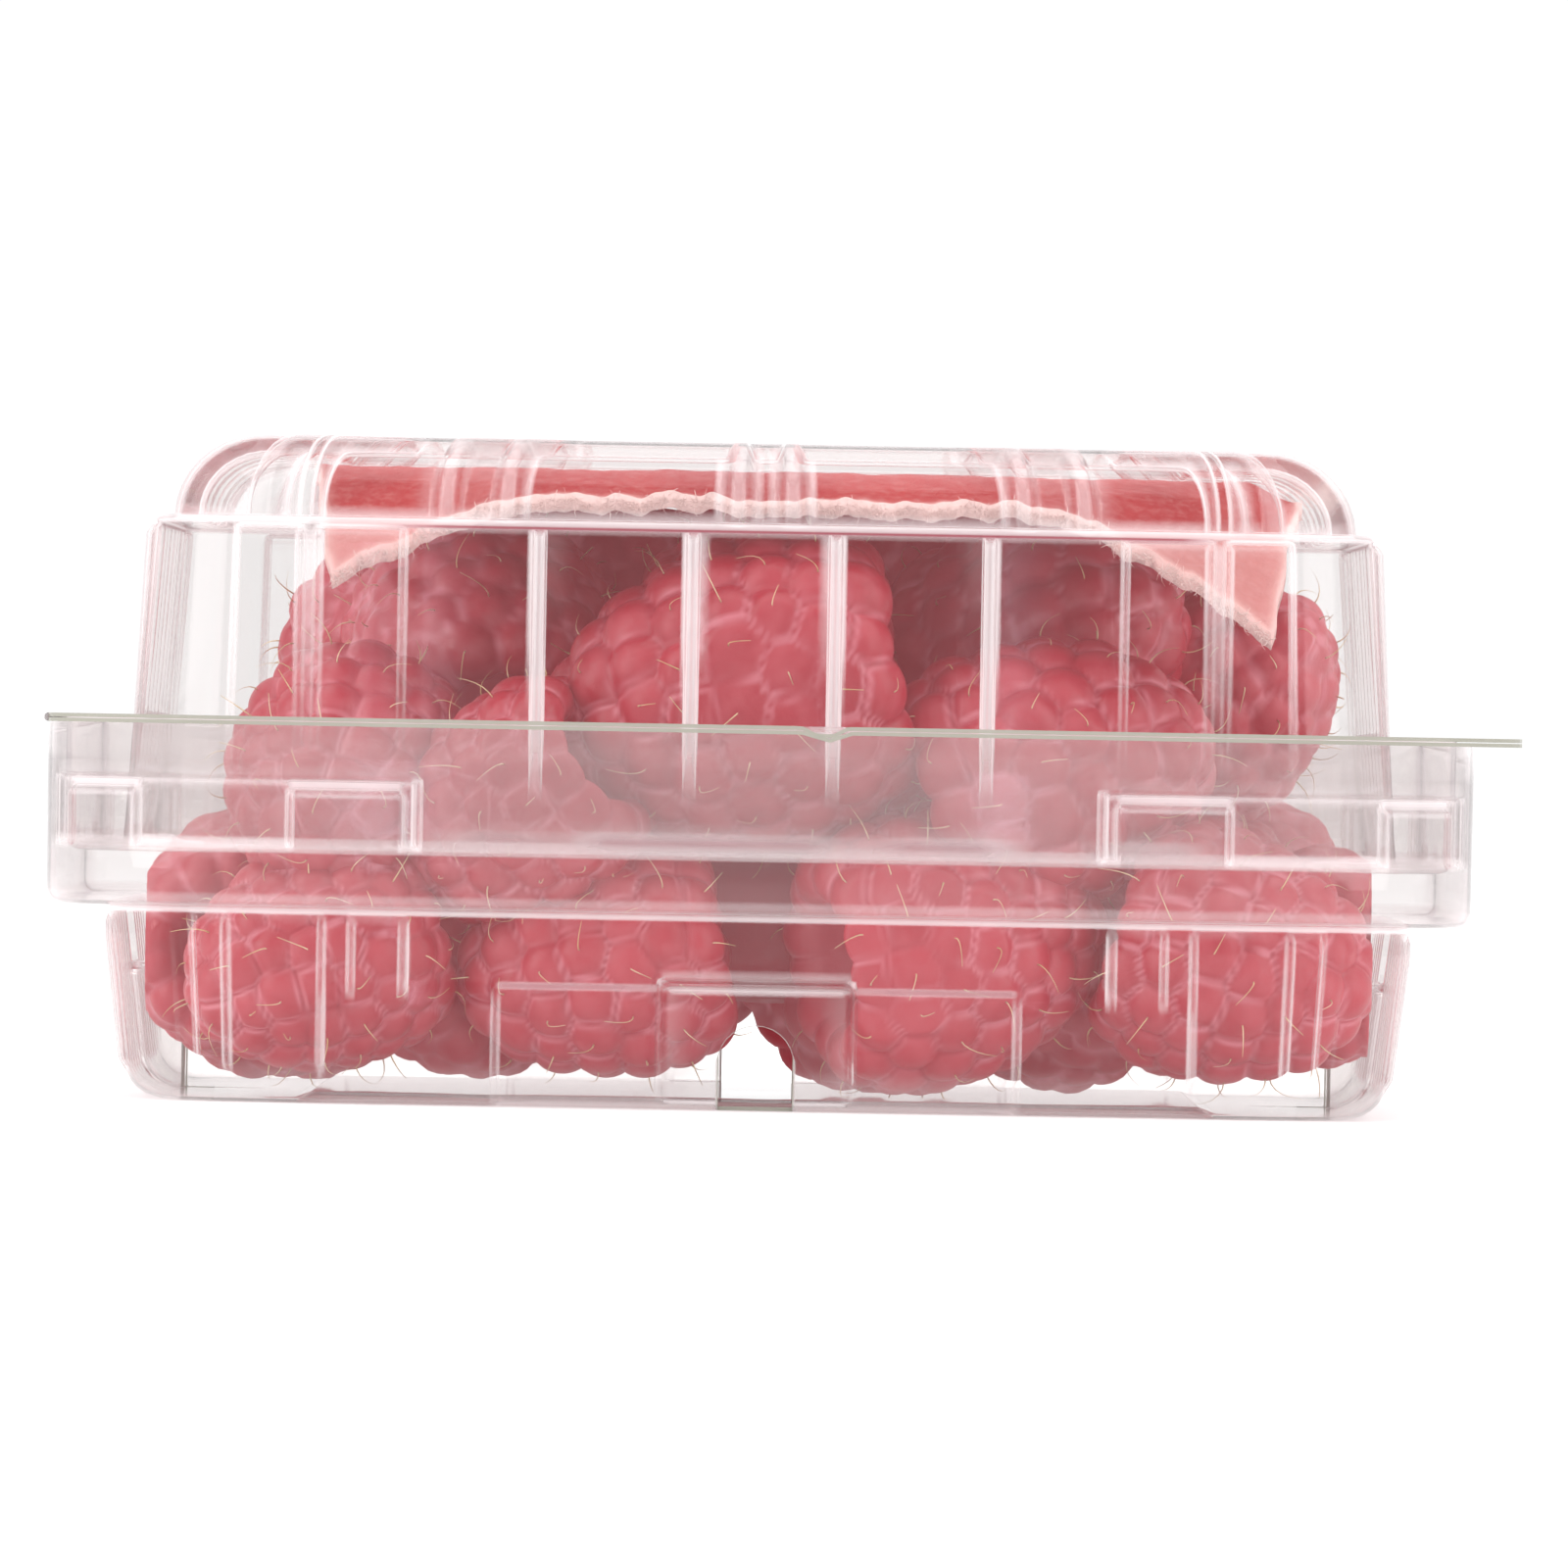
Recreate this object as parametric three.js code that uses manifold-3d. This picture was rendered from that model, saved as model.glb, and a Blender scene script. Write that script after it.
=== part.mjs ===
// A clear hinged punnet of raspberries: a lower shell with a deep band, an upper shell whose rim plugs
// into that band, an absorbent pad under the top plate and a heap of berries.
// Millimetres, +Z up, +X towards the opening lip, the hinge on the -X side.
import * as THREE from 'three';
import Module from 'manifold-3d';

// Driving dimensions, as half widths across X measured from the middle of the band
const SHEET = 0.35;
const BAND_HALF = 47.0;
const DEPTH_EXTRA = 12.0;
const CORNER_RADIUS = 15.0;
const LEAST_RADIUS = 2.0;
const CORNER_STEPS = 6;
const SHOULDER_STEPS = 3;
const FOOT_STEPS = 3;
const HINGE_REACH = 47.1;
const LIP_REACH = 50.2;
const END_REACH = 60.0;
const FLANGE_CORNER = 16.0;

// Levels above the surface that the punnet stands on
const HINGE_Z = 25.1;
const FLANGE_GAP = 0.2;
const FLOOR_LIFT = 0.4;
const BAND_BOTTOM = 12.8;
const PLUG_BOTTOM = 16.3;
const STEP_Z = 38.7;
const TOP_Z = 42.9;
const PLATEAU_Z = 44.0;

// Half widths of the walls at those levels
const FOOT_INNER = 30.5;
const FOOT_HALF = 38.6;
const LOWER_WALL_BOTTOM = 41.6;
const LOWER_WALL_TOP = 42.9;
const PLUG_INNER = 42.1;
const PLUG_OUTER = 45.7;
const UPPER_WALL_BOTTOM = 41.3;
const UPPER_WALL_TOP = 40.2;
const SHOULDER_BASE = 37.5;
const SHOULDER_TOP = 32.8;
const PLATEAU_HALF = 27.5;
const PLATEAU_EDGE = 1.0;
const FLOOR_EDGE = 1.2;
const FOOT_RISE = 2.4;
const LEDGE_BEND = 0.5;
const BAND_FOOT = [[-1.1, 0], [-0.4, 0.4], [-0.15, 1.1]];
const PLUG_BEND = [0.9, 1.0, 0.1, 1.2];
const FLANGE_BEND = 0.6;
const STEP_EDGE = [0.9, 0.1, 1.0];

// Raised bars on the shells
const BEAD_WIDTH = 2.1;
const BEAD_BASE_HEIGHT = 1.5;
const BEAD_TOP_HEIGHT = PLATEAU_Z - TOP_Z;
const BEAD_CROWN = 0.6;
const RIB_WIDTH = 1.0;
const RIB_HEIGHT = 0.8;
const RIB_CROWN = 0.5;
const RIB_DROP = 1.1;
const RIB_FOOT = 6.0;
const PANEL_HEIGHT = 0.5;
const PANEL_CROWN = 0.85;
const FLUTE_HEIGHT = 0.45;
const FLUTE_CROWN = 0.8;
const FLUTE_DROP = 0.8;
const FOOT_PANEL = { place: 22.7, width: 11.2, height: 0.6, top: 8.4, crown: 0.95 };
const THIN = 0.02;
const EMBED = 0.2;

// Vent recess low in each side of the lower shell, with an arched vent cut through its face
const RECESS_WIDTH = 12.2;
const RECESS_TOP = 8.3;
const RECESS_DEPTH = 3.0;
const VENT_WIDTH = 5.0;
const VENT_SPRING = 3.1;
const VENT_STEPS = 8;
const CUT_SPARE = 2.0;

// Absorbent pad, with both front corners hanging down behind the front wall
const PAD_THICKNESS = 0.9;
const PAD_TOP = 42.15;
const PAD_LEFT = -29.8;
const PAD_RIGHT = 35.4;
const PAD_FRONT = -47.9;
const PAD_BACK = 45.5;
const PAD_STEPS = 12;
const PAD_FRONT_DROOP = 1.7;
const PAD_SIDE_DROOP = 1.4;
const PAD_FOLD_Y = -36.0;
const PAD_CORNER_REACH = 2.0;
const PAD_RIGHT_DROOP = 8.2;
const PAD_RIGHT_FOLD = 15.6;
const PAD_LEFT_DROOP = 5.2;
const PAD_LEFT_FOLD = -15.2;
const PAD_PULL = 0.25;

// Berries: [x, y, z, length, width, tip azimuth, tip elevation], placed by hand where they show
const FRONT_BERRIES = [
  [-29.4, -43.0, 9.5, 18.0, 16.0, 200, -20],
  [-10.4, -41.8, 9.4, 19.0, 16.0, 180, -10],
  [12.7, -42.2, 11.0, 21.0, 19.0, 20, 10],
  [31.6, -42.0, 10.4, 19.0, 17.5, 0, -15],
  [-27.6, -40.5, 20.8, 19.0, 17.0, 75, 30],
  [-16.4, -43.6, 19.4, 18.5, 15.6, 150, -30],
  [-1.7, -41.4, 27.2, 25.0, 21.5, 180, -12],
  [19.4, -40.0, 22.6, 22.0, 19.0, 10, 15],
];
const UPPER_BERRIES = [
  [-18.5, -24.0, 30.6, 21.5, 19.0, 100, 40],
  [1.0, -21.5, 30.0, 22.0, 19.5, 60, 5],
  [18.5, -25.5, 30.6, 21.5, 19.0, 330, 20],
  [30.2, -21.0, 27.6, 19.0, 16.5, 330, 35],
  [-24.2, 1.2, 29.2, 21.0, 18.5, 250, 20],
  [-7.5, -2.0, 30.2, 22.0, 19.5, 15, -10],
  [11.5, -5.0, 30.2, 21.5, 19.0, 130, 15],
  [28.6, -1.5, 28.6, 20.0, 18.0, 100, 10],
  [-20.5, 22.0, 29.4, 21.5, 19.0, 300, -15],
  [0.5, 19.0, 30.2, 22.0, 19.5, 200, 20],
  [20.5, 17.0, 29.6, 21.0, 19.0, 80, 25],
  [-10.5, 42.0, 26.6, 21.0, 18.5, 170, 10],
  [13.0, 41.5, 27.2, 21.5, 19.0, 40, -20],
];
const LOWER_COLUMNS = [-30.2, -10.0, 10.4, 30.4];
const LOWER_ROWS = [-21.6, -0.6, 20.2, 40.6];
const LOWER_Z = 11.2;
const RECESS_SQUEEZE = 0.92;
const LOWER_LENGTH = [20.4, 0.8];
const LOWER_WIDTH = [18.6, 0.4];
const LOWER_SHIFT = [0.5, 0.6];
const LOWER_TILT = 22;
const BERRY_SIDES = 8;
const BERRY_PROFILE = [[0, 0.5], [0.62, 0.38], [0.93, 0.14], [1, -0.12], [0.84, -0.38], [0, -0.46]];
const HEAP_CORE = [[-28, -40, 6], [29, 44, 24]];

const CORE_HALF = BAND_HALF - CORNER_RADIUS;
const CORE_DEPTH = CORE_HALF + DEPTH_EXTRA;

const clearPlastic = () => new THREE.MeshStandardMaterial({
  color: 0xe6e3e2, roughness: 0.08, metalness: 0.0, transparent: true, opacity: 0.4,
});
const berryFlesh = new THREE.MeshStandardMaterial({ color: 0xc4344a, roughness: 0.45, metalness: 0.0 });
const pinkPaper = new THREE.MeshStandardMaterial({ color: 0xf09088, roughness: 0.9, metalness: 0.0 });

const wasm = await Module();
wasm.setup();

// A closed body from shared vertices and triangles, ready to be joined or cut
function solid(points, faces) {
  return new wasm.Manifold(new wasm.Mesh({
    numProp: 3,
    vertProperties: new Float32Array(points.flat()),
    triVerts: new Uint32Array(faces.flat()),
  }));
}

// The finished body as a named three.js mesh
function namedMesh(name, body, material) {
  const data = body.getMesh();
  const geometry = new THREE.BufferGeometry();
  geometry.setAttribute('position', new THREE.BufferAttribute(new Float32Array(data.vertProperties), 3));
  geometry.setIndex(new THREE.BufferAttribute(new Uint32Array(data.triVerts), 1));
  geometry.computeVertexNormals();
  const mesh = new THREE.Mesh(geometry, material);
  mesh.name = name;
  return mesh;
}

// A level rounded rectangle, anticlockwise from the +X side, with the same count of points at any size
function roundedRing(xMin, xMax, yMin, yMax, radius, z) {
  const corners = [
    [xMax - radius, yMax - radius, 0],
    [xMin + radius, yMax - radius, 1],
    [xMin + radius, yMin + radius, 2],
    [xMax - radius, yMin + radius, 3],
  ];
  const ring = [];
  for (const [cx, cy, quarter] of corners) {
    for (let k = 0; k <= CORNER_STEPS; k += 1) {
      const angle = (quarter + k / CORNER_STEPS) * Math.PI / 2;
      ring.push([cx + radius * Math.cos(angle), cy + radius * Math.sin(angle), z]);
    }
  }
  return ring;
}

function wallRing([half, z]) {
  const depth = half + DEPTH_EXTRA;
  return roundedRing(-half, half, -depth, depth, Math.max(LEAST_RADIUS, half - CORE_HALF), z);
}

function flangeRing(z) {
  return roundedRing(-HINGE_REACH, LIP_REACH, -END_REACH, END_REACH, FLANGE_CORNER, z);
}

// Closed skin over a run of rings, from the middle of the first to the middle of the last
function ringSkin(rings) {
  const count = rings[0].length;
  const points = rings.flat();
  const faces = [];
  for (let row = 0; row + 1 < rings.length; row += 1) {
    for (let i = 0; i < count; i += 1) {
      const a = row * count + i;
      const b = row * count + (i + 1) % count;
      faces.push([a, b + count, b], [a, a + count, b + count]);
    }
  }
  const first = points.push([0, 0, rings[0][0][2]]) - 1;
  const last = points.push([0, 0, rings[rings.length - 1][0][2]]) - 1;
  const base = (rings.length - 1) * count;
  for (let i = 0; i < count; i += 1) {
    const next = (i + 1) % count;
    faces.push([first, i, next], [last, base + next, base + i]);
  }
  return solid(points, faces);
}

// The same profile moved by one sheet thickness to its left side, mitred at each bend
function offsetProfile(profile, distance) {
  const unit = (a, b) => {
    const dx = b[0] - a[0];
    const dz = b[1] - a[1];
    const length = Math.hypot(dx, dz);
    return [-dz / length, dx / length];
  };
  return profile.map((point, i) => {
    const before = i > 0 ? unit(profile[i - 1], point) : unit(point, profile[i + 1]);
    const after = i + 1 < profile.length ? unit(point, profile[i + 1]) : before;
    const nx = before[0] + after[0];
    const nz = before[1] + after[1];
    const scale = 2 * distance / (nx * nx + nz * nz);
    return [point[0] + nx * scale, point[1] + nz * scale];
  });
}

// Quarter of an ellipse that leaves one profile point level and reaches the other upright
function quarter(from, to, steps) {
  return Array.from({ length: steps + 1 }, (_, k) => {
    const angle = k / steps * Math.PI / 2;
    return [
      from[0] + (to[0] - from[0]) * Math.sin(angle),
      from[1] + (to[1] - from[1]) * (1 - Math.cos(angle)),
    ];
  });
}

// Where a bar stands: a point on the core rectangle and the way out of the wall there.
// across is what shows from straight in front of that side; past the core it turns round the corner.
const SIDES = {
  front: { out: [0, -1], along: [1, 0], reach: CORE_DEPTH, half: CORE_HALF },
  back: { out: [0, 1], along: [-1, 0], reach: CORE_DEPTH, half: CORE_HALF },
  right: { out: [1, 0], along: [0, 1], reach: CORE_HALF, half: CORE_DEPTH },
  left: { out: [-1, 0], along: [0, -1], reach: CORE_HALF, half: CORE_DEPTH },
};

function stand(side, across, half) {
  const { out, along, reach, half: straight } = SIDES[side];
  const beyond = Math.max(0, Math.abs(across) - straight) * Math.sign(across);
  const inner = across - beyond;
  const angle = Math.asin(THREE.MathUtils.clamp(beyond / Math.max(half - CORE_HALF, 1), -1, 1));
  const cos = Math.cos(angle);
  const sin = Math.sin(angle);
  return {
    base: [out[0] * reach + along[0] * inner, out[1] * reach + along[1] * inner],
    out: [out[0] * cos + along[0] * sin, out[1] * cos + along[1] * sin],
    along: [along[0] * cos - out[0] * sin, along[1] * cos - out[1] * sin],
  };
}

// A bar that follows a wall profile. rows: across, half width, level, height, and the way the wall faces there
function wallBar(side, width, rows, crown) {
  const points = [];
  for (const { across, half, z, height, faces: [outward, upward] } of rows) {
    const place = stand(side, across, half);
    const at = (sideways, lift) => {
      const d = half - CORE_HALF + outward * lift;
      return [
        place.base[0] + place.out[0] * d + place.along[0] * sideways,
        place.base[1] + place.out[1] * d + place.along[1] * sideways,
        z + upward * lift,
      ];
    };
    points.push(at(-width / 2, -EMBED), at(width / 2, -EMBED));
    points.push(at(width / 2 * crown, height), at(-width / 2 * crown, height));
  }
  return tube(points, 4, rows.length);
}

// Closed tube through sections of the same number of corners, turned the right way out
function tube(points, corners, sections) {
  const faces = [];
  for (let row = 0; row + 1 < sections; row += 1) {
    for (let i = 0; i < corners; i += 1) {
      const a = row * corners + i;
      const b = row * corners + (i + 1) % corners;
      faces.push([a, b + corners, b], [a, a + corners, b + corners]);
    }
  }
  const end = (sections - 1) * corners;
  for (let i = 1; i + 1 < corners; i += 1) {
    faces.push([0, i, i + 1], [end, end + i + 1, end + i]);
  }
  const body = solid(points, faces);
  return body.volume() > 0 ? body : solid(points, faces.map(([a, b, c]) => [a, c, b]));
}

// An upright bar on a straight stretch of wall between two levels
function uprightBar(side, across, width, low, high, crown) {
  const slope = Math.hypot(low.half - high.half, low.z - high.z);
  const faces = [(high.z - low.z) / slope, (low.half - high.half) / slope];
  return wallBar(side, width, [
    { ...low, across, faces },
    { ...high, across, faces },
  ], crown);
}

function joined(bodies) {
  return wasm.Manifold.union(bodies);
}

// A level box between two corners
function box(low, high) {
  const [x0, y0, z0] = low;
  const [x1, y1, z1] = high;
  const geometry = new THREE.BoxGeometry(x1 - x0, y1 - y0, z1 - z0);
  const middle = [(x0 + x1) / 2, (y0 + y1) / 2, (z0 + z1) / 2];
  return fromGeometry(geometry, new THREE.Matrix4().makeTranslation(...middle));
}

// A three.js geometry, placed by a matrix, with its shared corners merged
function fromGeometry(geometry, matrix) {
  geometry.applyMatrix4(matrix);
  const places = geometry.getAttribute('position');
  const index = geometry.getIndex();
  const known = new Map();
  const points = [];
  const seen = Array.from({ length: places.count }, (_, i) => {
    const point = [places.getX(i), places.getY(i), places.getZ(i)];
    const key = point.map((value) => Math.round(value * 1e4)).join();
    if (!known.has(key)) {
      known.set(key, points.push(point) - 1);
    }
    return known.get(key);
  });
  const faces = [];
  for (let i = 0; i < index.count; i += 3) {
    const face = [0, 1, 2].map((k) => seen[index.getX(i + k)]);
    if (new Set(face).size === 3) {
      faces.push(face);
    }
  }
  return solid(points, faces);
}

const BOTH_WAYS = [-1, 1];
const mirrored = (places) => places.flatMap((place) => BOTH_WAYS.map((way) => way * place));
const mirroredWide = (places) => {
  return places.flatMap(([place, width]) => BOTH_WAYS.map((way) => [way * place, width]));
};

// Where the bars stand on the short and the long sides, as seen from in front of each
const SHORT_BEADS = mirrored([1.8, 17.0, 21.0, 30.2, 33.1]);
const LONG_BEADS = mirrored([1.8, 15.5, 19.5, 33.0, 37.0, 44.5]);
const SHORT_RIBS = mirrored([4.7, 14.8]);
const LONG_RIBS = mirrored([5.0, 15.0, 25.0]);

// Panels and flutes: the middle of each and its width
const SHORT_PANELS = mirroredWide([[26.6, 5.4], [32.7, 4.4]]);
const LONG_PANELS = mirroredWide([[36.5, 5.4], [43.5, 5.4]]);
const SHORT_FLUTES = mirroredWide([[24.95, 3.5], [30.65, 4.1], [35.9, 2.2], [39.8, 2.0]]);
const LONG_FLUTES = mirroredWide([
  [11.8, 3.6], [17.8, 3.6], [23.8, 3.6], [29.8, 3.6], [35.8, 3.6], [41.8, 3.6], [48.1, 3.4],
]);

const SHOULDER_ARC = quarter([SHOULDER_TOP, TOP_Z], [SHOULDER_BASE, STEP_Z], SHOULDER_STEPS);

// Upper shell: top plate, shoulder, ribbed wall, plug inside the band and flange
function upperShell() {
  const flangeUnder = HINGE_Z + FLANGE_GAP / 2;
  const [plugIn, plugOut, plugSide, plugRise] = PLUG_BEND;
  const [edgeIn, edgeTilt, edgeDrop] = STEP_EDGE;
  const wallTopZ = STEP_Z - edgeDrop;
  const outside = [
    [PLATEAU_HALF, PLATEAU_Z],
    [PLATEAU_HALF + PLATEAU_EDGE, TOP_Z],
    ...SHOULDER_ARC,
    [UPPER_WALL_TOP - edgeIn, STEP_Z - edgeTilt],
    [UPPER_WALL_TOP, wallTopZ],
    [UPPER_WALL_BOTTOM, HINGE_Z],
    [PLUG_INNER, PLUG_BOTTOM + plugOut],
    [PLUG_INNER + plugIn, PLUG_BOTTOM + SHEET],
    [PLUG_OUTER - plugOut, PLUG_BOTTOM + SHEET],
    [PLUG_OUTER - plugSide, PLUG_BOTTOM + plugRise],
    [PLUG_OUTER - plugSide, flangeUnder + SHEET - FLANGE_BEND],
    [PLUG_OUTER - plugSide + FLANGE_BEND, flangeUnder + SHEET],
  ];
  const inside = offsetProfile(outside, -SHEET);
  const shell = ringSkin([
    ...outside.map(wallRing),
    flangeRing(flangeUnder + SHEET),
    flangeRing(flangeUnder),
    ...inside.reverse().map(wallRing),
  ]);
  const bars = [];
  for (const [sides, places, extra] of [
    [['front', 'back'], SHORT_BEADS, DEPTH_EXTRA],
    [['right', 'left'], LONG_BEADS, 0],
  ]) {
    for (const side of sides) {
      bars.push(...places.map((place) => shoulderBead(side, place, extra)));
    }
  }
  const wallAt = (z) => THREE.MathUtils.mapLinear(z, HINGE_Z, wallTopZ, UPPER_WALL_BOTTOM, UPPER_WALL_TOP);
  const top = { half: wallAt(STEP_Z - RIB_DROP), z: STEP_Z - RIB_DROP };
  const foot = { half: wallAt(HINGE_Z - RIB_FOOT), z: HINGE_Z - RIB_FOOT, height: THIN };
  for (const [sides, ribs, panels] of [
    [['front', 'back'], SHORT_RIBS, SHORT_PANELS],
    [['right', 'left'], LONG_RIBS, LONG_PANELS],
  ]) {
    for (const side of sides) {
      for (const place of ribs) {
        bars.push(uprightBar(side, place, RIB_WIDTH, foot, { ...top, height: RIB_HEIGHT }, RIB_CROWN));
      }
      for (const [place, width] of panels) {
        bars.push(uprightBar(side, place, width, foot, { ...top, height: PANEL_HEIGHT }, PANEL_CROWN));
      }
    }
  }
  return joined([shell, ...bars]);
}

// A bead that runs from the foot of the shoulder over it to the plateau, aimed at the plate's middle
function shoulderBead(side, across, extra) {
  const start = SHOULDER_BASE + extra;
  const path = [...SHOULDER_ARC].reverse().concat([[PLATEAU_HALF + EMBED, TOP_Z]]);
  const rows = path.map(([half, z], i) => {
    const turn = Math.min(i / (SHOULDER_ARC.length - 1), 1) * Math.PI / 2;
    const height = THREE.MathUtils.lerp(BEAD_BASE_HEIGHT, BEAD_TOP_HEIGHT - THIN, Math.sin(turn));
    return {
      across: across * (half + extra) / start,
      half,
      z: i === 0 ? z - EMBED / 2 : z,
      height,
      faces: [Math.cos(turn), Math.sin(turn)],
    };
  });
  return wallBar(side, BEAD_WIDTH, rows, BEAD_CROWN);
}

// Lower shell: raised floor on a flat foot ring, ribbed wall, ledge, deep band and flange
function lowerShell() {
  const flangeTop = HINGE_Z - FLANGE_GAP / 2;
  const outside = [
    [FOOT_INNER - FLOOR_EDGE, FLOOR_LIFT],
    [FOOT_INNER, 0],
    ...quarter([FOOT_HALF, 0], [LOWER_WALL_BOTTOM, FOOT_RISE], FOOT_STEPS),
    [LOWER_WALL_TOP, BAND_BOTTOM - LEDGE_BEND],
    [LOWER_WALL_TOP + LEDGE_BEND, BAND_BOTTOM],
    ...BAND_FOOT.map(([out, up]) => [BAND_HALF + out, BAND_BOTTOM + up]),
    [BAND_HALF, flangeTop - SHEET],
  ];
  const inside = offsetProfile(outside, SHEET);
  inside[inside.length - 1][1] = flangeTop;
  const shell = ringSkin([
    ...inside.map(wallRing),
    flangeRing(flangeTop),
    flangeRing(flangeTop - SHEET),
    ...outside.reverse().map(wallRing),
  ]);
  const bars = [];
  const wallEnd = BAND_BOTTOM - LEDGE_BEND;
  const wallAt = (z) => THREE.MathUtils.mapLinear(z, FOOT_RISE, wallEnd, LOWER_WALL_BOTTOM, LOWER_WALL_TOP);
  const level = (z, height) => ({ half: wallAt(z), z, height });
  for (const [sides, places] of [[['front', 'back'], SHORT_FLUTES], [['right', 'left'], LONG_FLUTES]]) {
    for (const side of sides) {
      for (const [place, width] of places) {
        const low = level(FOOT_RISE, FLUTE_HEIGHT);
        const high = level(BAND_BOTTOM - FLUTE_DROP, FLUTE_HEIGHT);
        bars.push(uprightBar(side, place, width, low, high, FLUTE_CROWN));
      }
    }
  }
  for (const side of ['front', 'back']) {
    for (const place of mirrored([FOOT_PANEL.place])) {
      const low = level(FOOT_RISE, FOOT_PANEL.height);
      const high = level(FOOT_PANEL.top, THIN);
      bars.push(uprightBar(side, place, FOOT_PANEL.width, low, high, FOOT_PANEL.crown));
    }
  }
  let body = joined([shell, ...bars]);
  for (const side of Object.keys(SIDES)) {
    body = ventRecess(body, side);
  }
  return body;
}

// Cuts a recess into one side, lines it with the same sheet and opens the arched vent in its face
function ventRecess(body, side) {
  const { out, along, reach } = SIDES[side];
  const face = reach + LOWER_WALL_BOTTOM - CORE_HALF;
  const block = (halfAcross, inner, outer, low, high) => {
    const ends = [[inner, -halfAcross], [outer, halfAcross]].map(([d, a]) => [
      out[0] * d + along[0] * a,
      out[1] * d + along[1] * a,
    ]);
    const xs = ends.map((end) => end[0]).sort((a, b) => a - b);
    const ys = ends.map((end) => end[1]).sort((a, b) => a - b);
    return box([xs[0], ys[0], low], [xs[1], ys[1], high]);
  };
  const half = RECESS_WIDTH / 2;
  const back = face - RECESS_DEPTH;
  const beyond = face + RECESS_DEPTH;
  const outer = block(half + SHEET, back - SHEET, beyond, -CUT_SPARE, RECESS_TOP + SHEET);
  const inner = block(half, back, beyond, -CUT_SPARE, RECESS_TOP);
  const pocket = outer.intersect(filledLower()).subtract(inner);
  const arch = [[VENT_WIDTH / 2, -CUT_SPARE]];
  for (let k = 0; k <= VENT_STEPS; k += 1) {
    const angle = k / VENT_STEPS * Math.PI;
    arch.push([VENT_WIDTH / 2 * Math.cos(angle), VENT_SPRING + VENT_WIDTH / 2 * Math.sin(angle)]);
  }
  arch.push([-VENT_WIDTH / 2, -CUT_SPARE]);
  const points = [back - CUT_SPARE, back + CUT_SPARE].flatMap((d) => arch.map(([a, z]) => [
    out[0] * d + along[0] * a,
    out[1] * d + along[1] * a,
    z,
  ]));
  return body.subtract(inner).add(pocket).subtract(tube(points, arch.length, 2));
}

// The lower shell's outer form without its hollow
function filledLower() {
  return ringSkin([
    [LOWER_WALL_TOP, BAND_BOTTOM],
    [LOWER_WALL_BOTTOM, FOOT_RISE],
    [FOOT_HALF, 0],
  ].map(wallRing));
}

// Absorbent pad: a thin sheet that follows the shoulder in front and droops at its front corners
function absorbentPad() {
  const { clamp, lerp, smoothstep } = THREE.MathUtils;
  const cornerDroop = (x) => {
    const right = clamp((x - PAD_RIGHT_FOLD) / (PAD_RIGHT - PAD_RIGHT_FOLD), 0, 1);
    const left = clamp((PAD_LEFT_FOLD - x) / (PAD_LEFT_FOLD - PAD_LEFT), 0, 1);
    return PAD_RIGHT_DROOP * right ** 1.6 + PAD_LEFT_DROOP * left ** 1.25;
  };
  const points = [];
  for (const under of [0, PAD_THICKNESS]) {
    for (let j = 0; j <= PAD_STEPS; j += 1) {
      for (let i = 0; i <= PAD_STEPS; i += 1) {
        const back = (j / PAD_STEPS) ** 1.6;
        const x = lerp(PAD_LEFT, PAD_RIGHT, i / PAD_STEPS);
        const front = PAD_FRONT - PAD_CORNER_REACH * smoothstep(cornerDroop(x), 0, 6);
        const y = lerp(front, PAD_BACK, back);
        const fold = clamp((PAD_FOLD_Y - y) / (PAD_FOLD_Y - front), 0, 1);
        const low = cornerDroop(x) * fold ** 1.4;
        const lip = PAD_FRONT_DROOP * smoothstep(-y, -PAD_FRONT - 6, -PAD_FRONT);
        const side = PAD_SIDE_DROOP * smoothstep(x, PAD_RIGHT - 4, PAD_RIGHT) * clamp(1 - low / 4, 0, 1);
        points.push([x - PAD_PULL * low * Math.sign(x), y, PAD_TOP - lip - side - low - under]);
      }
    }
  }
  const row = PAD_STEPS + 1;
  const layer = row * row;
  const faces = [];
  for (let j = 0; j < PAD_STEPS; j += 1) {
    for (let i = 0; i < PAD_STEPS; i += 1) {
      const a = j * row + i;
      faces.push([a, a + 1, a + row + 1], [a, a + row + 1, a + row]);
      const b = a + layer;
      faces.push([b, b + row + 1, b + 1], [b, b + row, b + row + 1]);
    }
  }
  const rim = [];
  for (let i = 0; i < PAD_STEPS; i += 1) {
    rim.push([i, i + 1]);
    rim.push([PAD_STEPS + i * row, PAD_STEPS + (i + 1) * row]);
    rim.push([layer - 1 - i, layer - 2 - i]);
    rim.push([(PAD_STEPS - i) * row, (PAD_STEPS - i - 1) * row]);
  }
  for (const [a, b] of rim) {
    faces.push([b, a, a + layer], [b, a + layer, b + layer]);
  }
  return solid(points, faces);
}

// One berry as an ovoid with a flattened wide end, its tip aimed by azimuth and elevation
function berry([x, y, z, length, width, azimuth, elevation]) {
  const outline = BERRY_PROFILE.map(([r, h]) => new THREE.Vector2(r * width / 2, h * length)).reverse();
  const geometry = new THREE.LatheGeometry(outline, BERRY_SIDES);
  const { degToRad } = THREE.MathUtils;
  const level = Math.cos(degToRad(elevation));
  const tip = new THREE.Vector3(
    level * Math.cos(degToRad(azimuth)),
    level * Math.sin(degToRad(azimuth)),
    Math.sin(degToRad(elevation)),
  );
  const turn = new THREE.Quaternion().setFromUnitVectors(new THREE.Vector3(0, 1, 0), tip);
  const placed = new THREE.Matrix4().compose(new THREE.Vector3(x, y, z), turn, new THREE.Vector3(1, 1, 1));
  return fromGeometry(geometry, placed);
}

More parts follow.
